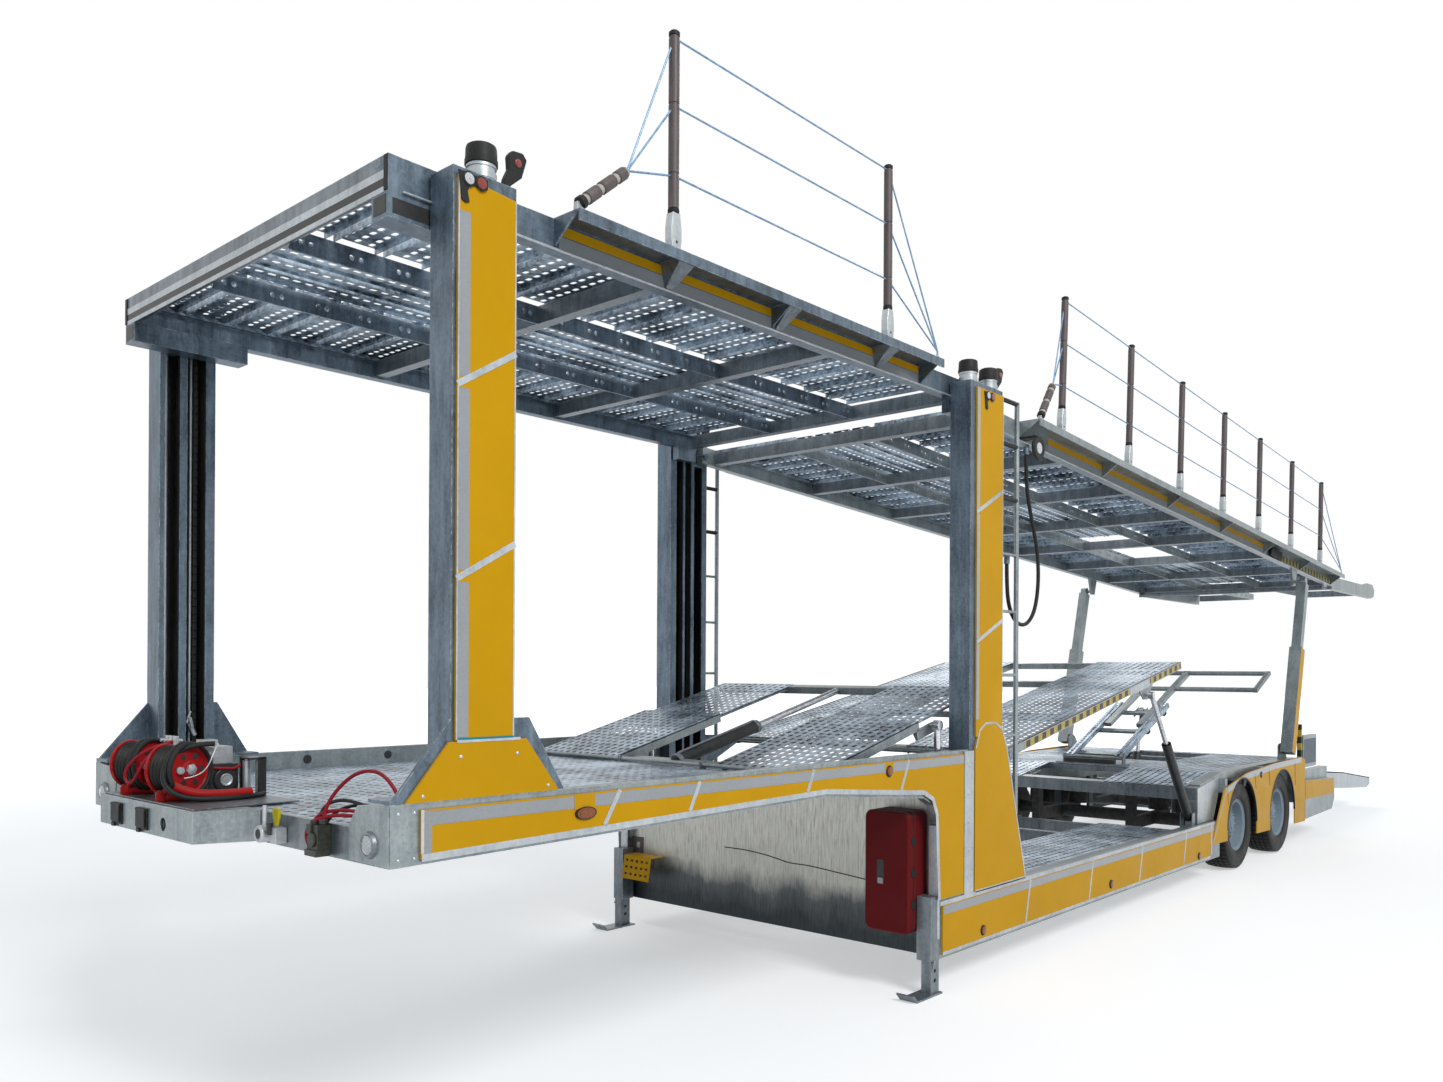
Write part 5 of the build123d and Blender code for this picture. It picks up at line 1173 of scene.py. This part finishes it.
rim_face = [(0.234, 0.020), (0.228, 0.015), (0.222, 0.024), (0.206, 0.030), (0.200, 0.060), (0.192, 0.100),
            (0.176, 0.112), (0.150, 0.104), (0.118, 0.092), (0.112, 0.084), (0.074, 0.082), (0.070, 0.060),
            (0.044, 0.060), (0.040, 0.052), (0.0005, 0.052)]
tyre_section = [(r, inner + y) for r, y in inner_wall] + tread[1:-1] + shoulder
tyre_section += [(r, outer - y) for r, y in outer_wall]
rim_section = [(0.0005, outer - 0.130), (0.186, outer - 0.130), (0.194, inner + 0.120)]
rim_section += [(r, inner + y) for r, y in rim_back] + [(r, outer - y) for r, y in rim_face]
hole = [(0, 0.019), (0.0125, 0.019), (0.0135, 0.018)]
nut = [(0, 0.013), (0.016, 0.013), (0.017, 0.008), (0.030, 0.007)]
hole_circle, nut_circle = (0.148, outer - 0.115, 0.31), (0.094, outer - 0.090, 0.0)


def on_circle(centre, circle, section, sides):
    """Ten like round shapes on a wheel, at even steps of a circle given by its radius, Y and first angle."""
    r, y, first = circle
    turn = np.linspace(0, 2 * np.pi, 10, endpoint=False) + first
    places = np.column_stack([centre[0] + r * np.cos(turn), np.full(10, y), centre[1] + r * np.sin(turn)])
    return [turned(place, Y_WAY, section, sides) for place in places]


for row, x in rows_x.items():
    for side in ("left", "right"):
        centre, body = (x, hub_z), f"wheel_{row}_{side}"
        points, faces = hoop(centre, tyre_section, 288, tread_cut)
        parts = [[(crowned(points, centre), faces)], [hoop(centre, rim_section, 64)],
                 on_circle(centre, hole_circle, hole, 14), on_circle(centre, nut_circle, nut, 6)]
        if side == "right":
            parts = [both_sides(shapes)[len(shapes):] for shapes in parts]
        tyre, rim, hole_shades, nuts = parts
        piece(f"{body}_tyre", tyre, tyre_rubber, body, [f"tyre_{row}_{side}"], smooth=True)
        piece(f"{body}_rim", rim, rim_paint, body, [f"rim_{row}_{side}"], smooth=True)
        # The hand holes are dark discs of painted shade.
        piece(f"{body}_holes", hole_shades, black_paint, body)
        piece(f"{body}_nuts", nuts, bright_zinc, body)

# Hose reels
# Two reels of black and red hose stand on a dark plate at the front edge of the nose, on cast feet.
# Each is a drum between two pressed red flanges with round slots. A red skid bar lies behind them.
dark_plate = galvanised_steel("dark_plate", (0.06, 0.085, 0.11), (0.20, 0.24, 0.28), patch=45.0, runs=0.2,
                              metallic=0.8, worn=0.003)
reel_red = painted("reel_red", (0.42, 0.006, 0.008), 0.34, wear=0.002)
hose_red = painted("hose_red", (0.34, 0.012, 0.026), 0.45, wear=0)
reel_x, reel_z, seat_z, reel_rows = 0.115, 1.372, 1.251, (-0.440, -0.085)
bed = [block(-0.215, 0.200, -0.580, 0.270, 1.245, seat_z)]
piece("reel_bed", bed, dark_plate, "chassis", ["nose_winch"], rounded=0.002)
reel_way, reel_side = np.array((-0.374, 0.927, 0)), np.array((0.927, 0.374, 0))
flange = [(0, 0.026), (0, 0.084), (-0.004, 0.088), (-0.004, 0.096), (0, 0.099), (0.005, 0.099),
          (0.008, 0.096), (0.008, 0.090), (0.004, 0.086), (0.004, 0.034), (0.010, 0.030)]
turns = [(0.010 + 0.0044 * k, 0.083 + 0.0095 * abs(math.sin(k * math.pi / 4))) for k in range(25)]
wound = [(0.008, 0.070)] + turns + [(0.118, 0.070)]


def around(middle, distance, r, count=32):
    """Points of a closed loop round a reel: a circle of radius r, at a distance along the reel's axis."""
    angle = np.linspace(0, 2 * np.pi, count + 1)
    circle = np.outer(np.cos(angle), reel_side) * r + np.outer(np.sin(angle), up) * r
    return (np.array(middle) + distance * reel_way + circle).tolist()


flanges, coils, arms, slot_shades, rings = [], [], [], [], []
reel_slot = [(0, 0.013), (0.0012, 0.013), (0.0014, 0.012)]
reel_foot = [(-0.018, 0.022), (-0.010, 0.025), (0.012, 0.024), (0.026, 0.015)]
for y in reel_rows:
    middle = (reel_x + 0.020, y - 0.056, reel_z)
    for distance in (0.0, 0.120):
        edge = middle + reel_way * distance
        flanges.append(turned(edge, reel_way, flange, 48))
        for angle in np.linspace(0, 2 * np.pi, 6, endpoint=False):
            spoke = reel_side * math.cos(angle) + np.array(up) * math.sin(angle)
            # Dark discs of painted shade stand for the flanges' round slots.
            slot_shades.append(turned(edge + spoke * 0.058 + reel_way * 0.0035, reel_way, reel_slot, 14))
    coils.append(turned(middle, reel_way, wound, 40))
    rings += [around(middle, 0.128, 0.101), around(middle, 0.108, 0.103)]
    ankle, knee_z = (reel_x + 0.060, y + 0.020), seat_z + 0.018
    arms += [bar((reel_x - 0.030, y + 0.070, knee_z), (*ankle, knee_z), 0.018, 16),
             turned((*ankle, knee_z), up, reel_foot, 20),
             bar((*ankle, seat_z + 0.020), (reel_x + 0.030, y + 0.080, reel_z), 0.011, 14)]
piece("reel_flanges", flanges, reel_red, "chassis", smooth=True)
piece("reel_slot_shades", slot_shades, black_paint, "chassis")
piece("reel_coils", coils, rubber, "chassis", smooth=True)
piece("reel_feet", arms, reel_red, "chassis", smooth=True)
drawn_line("reel_outer_turns", rings, 0.0095, rubber, "chassis")
skid = [[(0.165, -0.010, 1.318), (0.125, 0.030, 1.288), (0.060, 0.052, 1.276), (-0.020, 0.058, 1.274),
         (-0.118, 0.060, 1.276)]]
drawn_line("reel_skid", skid, 0.019, reel_red, "chassis")

# Motor, valve block and rollers
# Behind the reels a black hydraulic motor carries a cast valve block with four unions.
# Two upright rollers guide the hose over the nose; short lines join the parts.
cast_silver = galvanised_steel("cast_silver", (0.34, 0.36, 0.38), (0.66, 0.68, 0.69), patch=140.0, runs=0.1,
                               metallic=0.6, dust=0.2)
hubs = [bar((reel_x + 0.020, -0.600, reel_z), (reel_x + 0.020, 0.010, reel_z), 0.015)]
hub_nut = [(0, 0.024), (0.018, 0.024), (0.022, 0.016)]
hubs += [turned((reel_x - 0.025, y + 0.056, reel_z), reel_way, hub_nut, 6) for y in reel_rows]
hubs += [bar((0.060, y, reel_z + 0.075), (0.060, y, reel_z + 0.122), 0.011, 12)
         for y in (-0.300, -0.262, -0.224)]
hubs += [bar((0.020, y, reel_z + 0.100), (0.090, y, reel_z + 0.104), 0.008, 12) for y in (-0.300, -0.262)]
hubs += [block(-0.030, 0.020, -0.215, -0.165, 1.380, 1.430),
         block(-0.024, 0.014, -0.209, -0.171, 1.430, 1.456)]
piece("reel_fittings", hubs, cast_silver, "chassis", smooth=True)
motor = [block(-0.140, -0.020, -0.460, -0.100, seat_z, 1.380),
         block(-0.110, -0.016, -0.440, -0.360, 1.380, 1.400)]
motor += [turned((-0.085, -0.100, 1.316), Y_WAY, [(0, 0.050), (0.006, 0.050), (0.010, 0.044)], 32)]
piece("reel_motor", motor, black_paint, "chassis", rounded=0.006)
rings = [turned((-0.085, -0.091, 1.316), Y_WAY,
                [(0, 0.026), (0.005, 0.026), (0.007, 0.023), (0.004, 0.016)], 28)]
rings += [turned((-0.165, -0.101, z), Y_WAY, [(0, 0.009), (0.005, 0.009), (0.007, 0.006)], 12)
          for z in (1.290, 1.366)]
valve = [block(-0.125, -0.045, -0.345, -0.120, 1.380, 1.450),
         block(-0.118, -0.052, -0.300, -0.240, 1.450, 1.472)]
valve += [bar((-0.048, y, 1.415), (-0.022, y, 1.415), 0.013, 12) for y in (-0.310, -0.262, -0.214, -0.166)]
piece("valve_block", valve + rings, cast_silver, "chassis", rounded=0.003)
roller = [(0, 0.014), (0.006, 0.014), (0.008, 0.017), (0.140, 0.017), (0.142, 0.012), (0.154, 0.012)]
rollers = [turned((x, y, seat_z), up, roller, 20) for x, y in ((-0.165, -0.080), (-0.195, -0.030))]
piece("hose_rollers", rollers, bright_zinc, "chassis", smooth=True)
posts = [block(-0.182, -0.148, -0.112, -0.100, seat_z, 1.408),
         block(-0.212, -0.178, -0.014, -0.004, seat_z, 1.408),
         block(-0.212, -0.148, -0.112, -0.004, 1.398, 1.406)]
piece("roller_posts", posts, black_paint, "chassis", rounded=0.002)
over_reel = [[(0.010, 0.020, 1.472), (0.060, -0.010, 1.473), (0.130, -0.020, 1.455), (0.190, -0.010, 1.400),
              (0.203, 0.000, 1.340), (0.180, 0.020, 1.290), (0.120, 0.060, 1.264), (0.020, 0.090, 1.261),
              (-0.110, 0.090, 1.261), (-0.190, 0.020, 1.262)]]
drawn_line("reel_hose", over_reel, 0.0105, rubber, "chassis")
red_lines = [[(0.060, -0.230, 1.472), (0.130, -0.270, 1.455), (0.190, -0.330, 1.400), (0.206, -0.370, 1.340),
              (0.200, -0.350, 1.300), (0.196, -0.290, 1.310), (0.190, -0.250, 1.370), (0.150, -0.230, 1.440),
              (0.080, -0.210, 1.474)],
             [(-0.020, -0.130, 1.372), (-0.040, -0.092, 1.362), (-0.085, -0.086, 1.366),
              (-0.120, -0.090, 1.356), (-0.145, -0.100, 1.372)]]
drawn_line("reel_red_lines", red_lines, 0.0065, hose_red, "chassis")
wires = [[(0.010, 0.050, 1.474), (0.040, 0.072, 1.440), (0.052, 0.076, 1.390), (0.090, 0.066, 1.352),
          (0.140, 0.050, 1.346)]]
drawn_line("reel_wire", wires, 0.0024, bright_zinc, "chassis")

# Sockets, cock and couplings of the nose
# The front beam holds two black sockets with hinged lids and a round one between them, a cast ball valve
# with a yellow handle, and a dark coupling box from which red and black hoses rise over the beam.
shells = []
for y in (-0.412, -0.158):
    shells += [block(0.190, 0.219, y - 0.036, y + 0.036, 1.144, 1.214),
               block(0.2115, 0.217, y - 0.050, y + 0.050, 1.138, 1.222),
               block(0.2185, 0.2240, y - 0.042, y + 0.042, 1.148, 1.216),
               block(0.213, 0.222, y - 0.040, y - 0.012, 1.126, 1.142),
               bar((0.2195, y - 0.046, 1.2165), (0.2195, y + 0.046, 1.2165), 0.0055, 12)]
shells.append(turned((0.172, 0.032, 1.175), X_WAY,
                     [(0, 0.025), (0.034, 0.025), (0.036, 0.021), (0.030, 0.018)], 28))
shells.append(turned((0.202, 0.032, 1.175), X_WAY, [(0, 0.014), (0.004, 0.014), (0.006, 0.008)], 20))
piece("nose_sockets", shells, rubber, "chassis", ["air_couplings"], rounded=0.003)
ball_body = [(0, 0.020), (0.028, 0.020), (0.030, 0.031), (0.062, 0.032), (0.068, 0.027), (0.066, 0.018)]
cock = [turned((0, 0.500, 1.170), X_WAY, ball_body, 28),
        bar((0.040, 0.500, 1.190), (0.034, 0.486, 1.270), 0.008, 12),
        block(0.002, 0.044, 0.545, 0.590, 1.140, 1.196),
        bar((0.030, 0.520, 1.172), (0.030, 0.560, 1.172), 0.014, 12)]
piece("drain_cock", cock, cast_silver, "chassis", rounded=0.002)
# The black disc at the valve's front stands for its bore: painted shade.
mouth = [turned((0.064, 0.500, 1.170), X_WAY, [(0, 0.0175), (0.0030, 0.0175), (0.0035, 0.016)], 20),
         bar((0.046, 0.550, 1.170), (0.046, 0.550, 1.215), 0.011, 12)]
piece("cock_mouth", mouth, black_paint, "chassis")
grip = [(0.556, 1.268), (0.608, 1.268), (0.604, 1.236), (0.590, 1.203), (0.574, 1.203), (0.560, 1.236)]
handle_yellow = painted("handle_yellow", (0.62, 0.52, 0.005), 0.4, wear=0.002)
piece("cock_handle", [prism(grip, 0.030, 0.042, "x")], handle_yellow, "chassis", rounded=0.004)
greens = [(0.35, (0.008, 0.010, 0.007)), (0.72, (0.050, 0.056, 0.036))]
coupling = stained("coupling_green", 0.45, (60.0, 6.0, 0.7), greens, grain=(150.0, 0.0006))
box_shapes = [block(0, 0.052, 0.830, 0.900, 1.140, 1.236), block(0.010, 0.060, 0.838, 0.868, 1.205, 1.240),
              block(0.006, 0.060, 0.826, 0.905, 1.130, 1.152),
              bar((0.030, 0.845, 1.236), (0.030, 0.845, 1.252), 0.016, 14),
              bar((0.022, 0.884, 1.236), (0.022, 0.884, 1.256), 0.014, 14),
              turned((0.052, 0.866, 1.186), X_WAY, [(0, 0.026), (0.006, 0.026), (0.008, 0.022)], 24)]
piece("coupling_box", box_shapes, coupling, "chassis", rounded=0.003)
arches = [[(0.022, 0.884, 1.252), (0.016, 0.884, 1.300), (-0.020, 0.940, 1.392), (-0.045, 1.060, 1.440),
           (-0.050, 1.170, 1.420), (-0.050, 1.236, 1.352)],
          [(0.046, 0.838, 1.160), (0.062, 0.828, 1.200), (0.044, 0.834, 1.246), (0.004, 0.900, 1.268),
           (-0.008, 0.980, 1.276), (-0.010, 1.080, 1.276)],
          [(0.030, 0.845, 1.250), (0.020, 0.852, 1.272), (-0.004, 0.905, 1.286), (-0.016, 0.990, 1.292),
           (-0.022, 1.090, 1.290)]]
drawn_line("coupling_red_hoses", arches, 0.0065, hose_red, "chassis")
dark_arches = [[(0.030, 0.862, 1.238), (-0.006, 0.820, 1.290), (-0.026, 0.880, 1.322), (-0.036, 0.980, 1.322),
                (-0.044, 1.100, 1.300)],
               [(0.010, 0.880, 1.238), (-0.030, 0.850, 1.270), (-0.060, 0.930, 1.306), (-0.074, 1.040, 1.310),
                (-0.080, 1.130, 1.290)]]
drawn_line("coupling_black_hoses", dark_arches, 0.0062, rubber, "chassis")

# Corner plates and holes of the gooseneck
# Cast plates close the gooseneck's front corners and fold over its top. The side beams have round holes
# on their inner faces, and small unions stand at the foot of the right front mast.
corner_face = prism([(1.020, 1.130), (1.020, 1.250), (1.070, 1.316), (1.262, 1.326), (1.262, 1.130)],
                    0.0, 0.003, "x")
corner_top = block(-0.150, 0.0, 1.072, 1.216, 1.310, 1.316)
piece("corner_plates", both_sides([corner_face, corner_top]), galvanised, "chassis",
      rounded=0.001)
hole = [(0, 0.024), (0.0022, 0.024), (0.0026, 0.023)]
# Dark discs of painted shade stand for the round holes.
hole_shades = [turned((x, -1.2152, 1.284), Y_WAY, hole, 20) for x in (-0.540, -1.029, -1.516, -2.003)]
piece("wall_hole_shades", both_sides(hole_shades), black_paint, "chassis")
fittings = [bar((-0.392, y, 1.478), (-0.378, y + 0.006, 1.530), 0.009, 12) for y in (-1.168, -1.146)]
fittings += [bar((-0.410, -1.160, 1.440), (-0.380, -1.156, 1.500), 0.012, 12),
             bar((-0.366, -1.150, 1.500), (-0.384, -1.150, 1.560), 0.007, 12)]
piece("mast_foot_fittings", fittings, cast_silver, "chassis", smooth=True)

# Marks and collars of the platforms
# Platform 2's outer flanges carry a row of black and yellow blocks on a pale border, with a bare patch at
# the lug. A thin pipe and two collars sit on platform 1's ram, and a black block on the rear deck is the
# wheel lift's stop.
start, way, length = line_of(-4.440, 1.262, -7.560, 1.852)
edge_y = track_out + 0.020
border = [slab(start, way, 0.270, 3.165, -0.038, 0.017, edge_y, edge_y + 0.001)]
piece("platform_2_border", both_sides(border), cream, "platform_2")
marks = [slab(start, way, a, b, -0.031, 0.010, edge_y, edge_y + 0.002)
         for a, b in ((0.280, 2.040), (2.460, 3.155))]
piece("platform_2_marks", both_sides(marks), blocks("platform_blocks", 0.058, 0.02), "platform_2")
patch = slab(start, way, 2.050, 2.450, -0.046, 0.016, edge_y, edge_y + 0.004)
piece("platform_2_patches", both_sides([patch]), bright_zinc, "platform_2", rounded=0.001)
edge_lines = [slab(start, way, 0.010, 3.160, 0.017, 0.022, edge_y - 0.004, edge_y + 0.001)]
piece("platform_2_edges", both_sides(edge_lines), black_paint, "platform_2")
start, way, length = line_of(-2.500, 1.262, -4.250, 1.698)
pipe = [middle_bar(start, way, 0.140, 0.840, ram_n + 0.044, 0.006),
        middle_bar(start, way, 0.120, 0.150, ram_n, 0.044),
        middle_bar(start, way, 0.835, 0.866, ram_n, 0.041)]
piece("ram_collars", pipe, dull_zinc, "platform_1", smooth=True)
stop_block = block(-8.302, -8.345, -0.250, 0.250, 0.914, 0.956)
piece("lift_base_block", [stop_block], black_paint, "chassis", rounded=0.004)

# Fender film and edges
# A grey reflective film runs along the fenders' top edge and stays clear of the arches, which end in
# rubber beads. The fenders are yellow sheet in five parts, so thin black joints show between them.
arch_r, film_r, film_width = 0.428, 0.440, 0.052
along = -np.linspace(8.240, 10.640, 80)
top_edge = np.interp(-along, (8.210, 8.830, 9.700, 10.640), (0.770, 0.865, 0.905, 0.915)) - 0.004
over_arch = [hub_z + np.sqrt(np.clip(film_r ** 2 - (along - x) ** 2, 0, None)) for x in rows_x.values()]
foot_edge = np.maximum(top_edge - film_width, np.maximum(*over_arch))
outline = np.vstack([np.column_stack([along, foot_edge]), np.column_stack([along, top_edge])[::-1]])
film = [prism(outline, out_y, out_y + plate_t),
        strip([(-7.912, 0.335), (-8.222, 0.728)], 0.014, high=out_y + plate_t)]
piece("fender_film", both_sides(film), grey_film, "chassis")
fender_joints = [(-8.268, 0.800, -8.300, 0.620), (-9.060, 0.846, -9.100, 0.700),
                 (-9.500, 0.864, -9.540, 0.700), (-10.400, 0.880, -10.420, 0.640)]
cuts = [strip([(x0, z0), (x1, z1)], 0.005, high=out_y + 0.0016) for x0, z0, x1, z1 in fender_joints]
arc = np.linspace(0, np.pi, 25)
arch = np.column_stack([np.cos(arc), np.sin(arc)]) * arch_r
cuts += [strip(arch + (x, hub_z), 0.012, 1.262) for x in rows_x.values()]
piece("fender_edges", both_sides(cuts), rubber, "chassis")

# Chock bracket, neck edges, leg pins and mast feet
# A folded rusty bracket on the bulkhead holds the chock. Bright edge strips close the neck's sides,
# a pin with its clip locks each leg, and a thin line marks the foot of each front mast's cover.
bracket = [block(face_x, face_x + 0.006, -1.205, -1.165, 0.500, 0.615),
           block(face_x, face_x + 0.006, -1.125, -1.095, 0.500, 0.615),
           block(face_x, face_x + 0.006, -1.165, -1.125, 0.500, 0.540),
           block(face_x, face_x + 0.006, -1.165, -1.125, 0.580, 0.615),
           block(face_x, face_x + 0.050, -1.205, -1.199, 0.500, 0.600)]
piece("chock_bracket", bracket, sleeve_brown, "chassis", rounded=0.001)
neck_edge = [strip([(-3.392, 0.930), (-3.396, 0.300)], 0.020, 1.205, 1.272)]
piece("neck_edges", both_sides(neck_edge), bright_zinc, "chassis", rounded=0.006)
pins = [bar((-3.350, 1.200, 0.186), (-3.350, 1.272, 0.186), 0.008, 12),
        bar((-3.350, 1.270, 0.190), (-3.332, 1.270, 0.150), 0.005, 10)]
piece("leg_pins", both_sides(pins), dark_plate, "chassis", smooth=True)
teal = painted("teal_line", (0.015, 0.26, 0.34), 0.35, wear=0)
foot_line = panel(-0.250, -0.482, 1.531, 1.538, 0.0025)
piece("mast_foot_lines", both_sides([foot_line]), teal, "chassis")

# Rear post, cabinet, struts and boxes
# The post on the left behind the wheels has black and yellow blocks, and a grey cabinet stands next to it.
# Yellow sheets cover the lower struts and the boxes behind the wheels.
post = [block(-10.744, -10.791, 1.2445, 1.2465, 0.450, 1.245),
        block(-10.743, -10.745, 1.206, 1.246, 0.450, 1.245)]
piece("rear_post_marks", post, blocks("post_blocks", 0.070, axis="Z"), "chassis")
door = block(-10.830, -11.280, 1.2550, 1.2575, 0.830, 1.090)
cabinet_grey = painted("cabinet_grey", (0.13, 0.16, 0.19), 0.45)
piece("cabinet_door", [door], cabinet_grey, "chassis", rounded=0.001)
start, way, length = line_of(-10.430, 1.010, -10.960, 2.760)
strut_skin = slab(start, way, -0.040, 1.076, -0.064, 0.064, 1.262, 1.2635)
piece("strut_skins", both_sides([strut_skin]), yellow, "strut_barrels")
box_skin = prism([(-10.812, 0.655), (-11.960, 0.606), (-11.992, 0.540), (-11.996, 0.440), (-10.812, 0.462)],
                 out_y, out_y + plate_t)
piece("rear_box_skins", both_sides([box_skin]), yellow, "chassis")
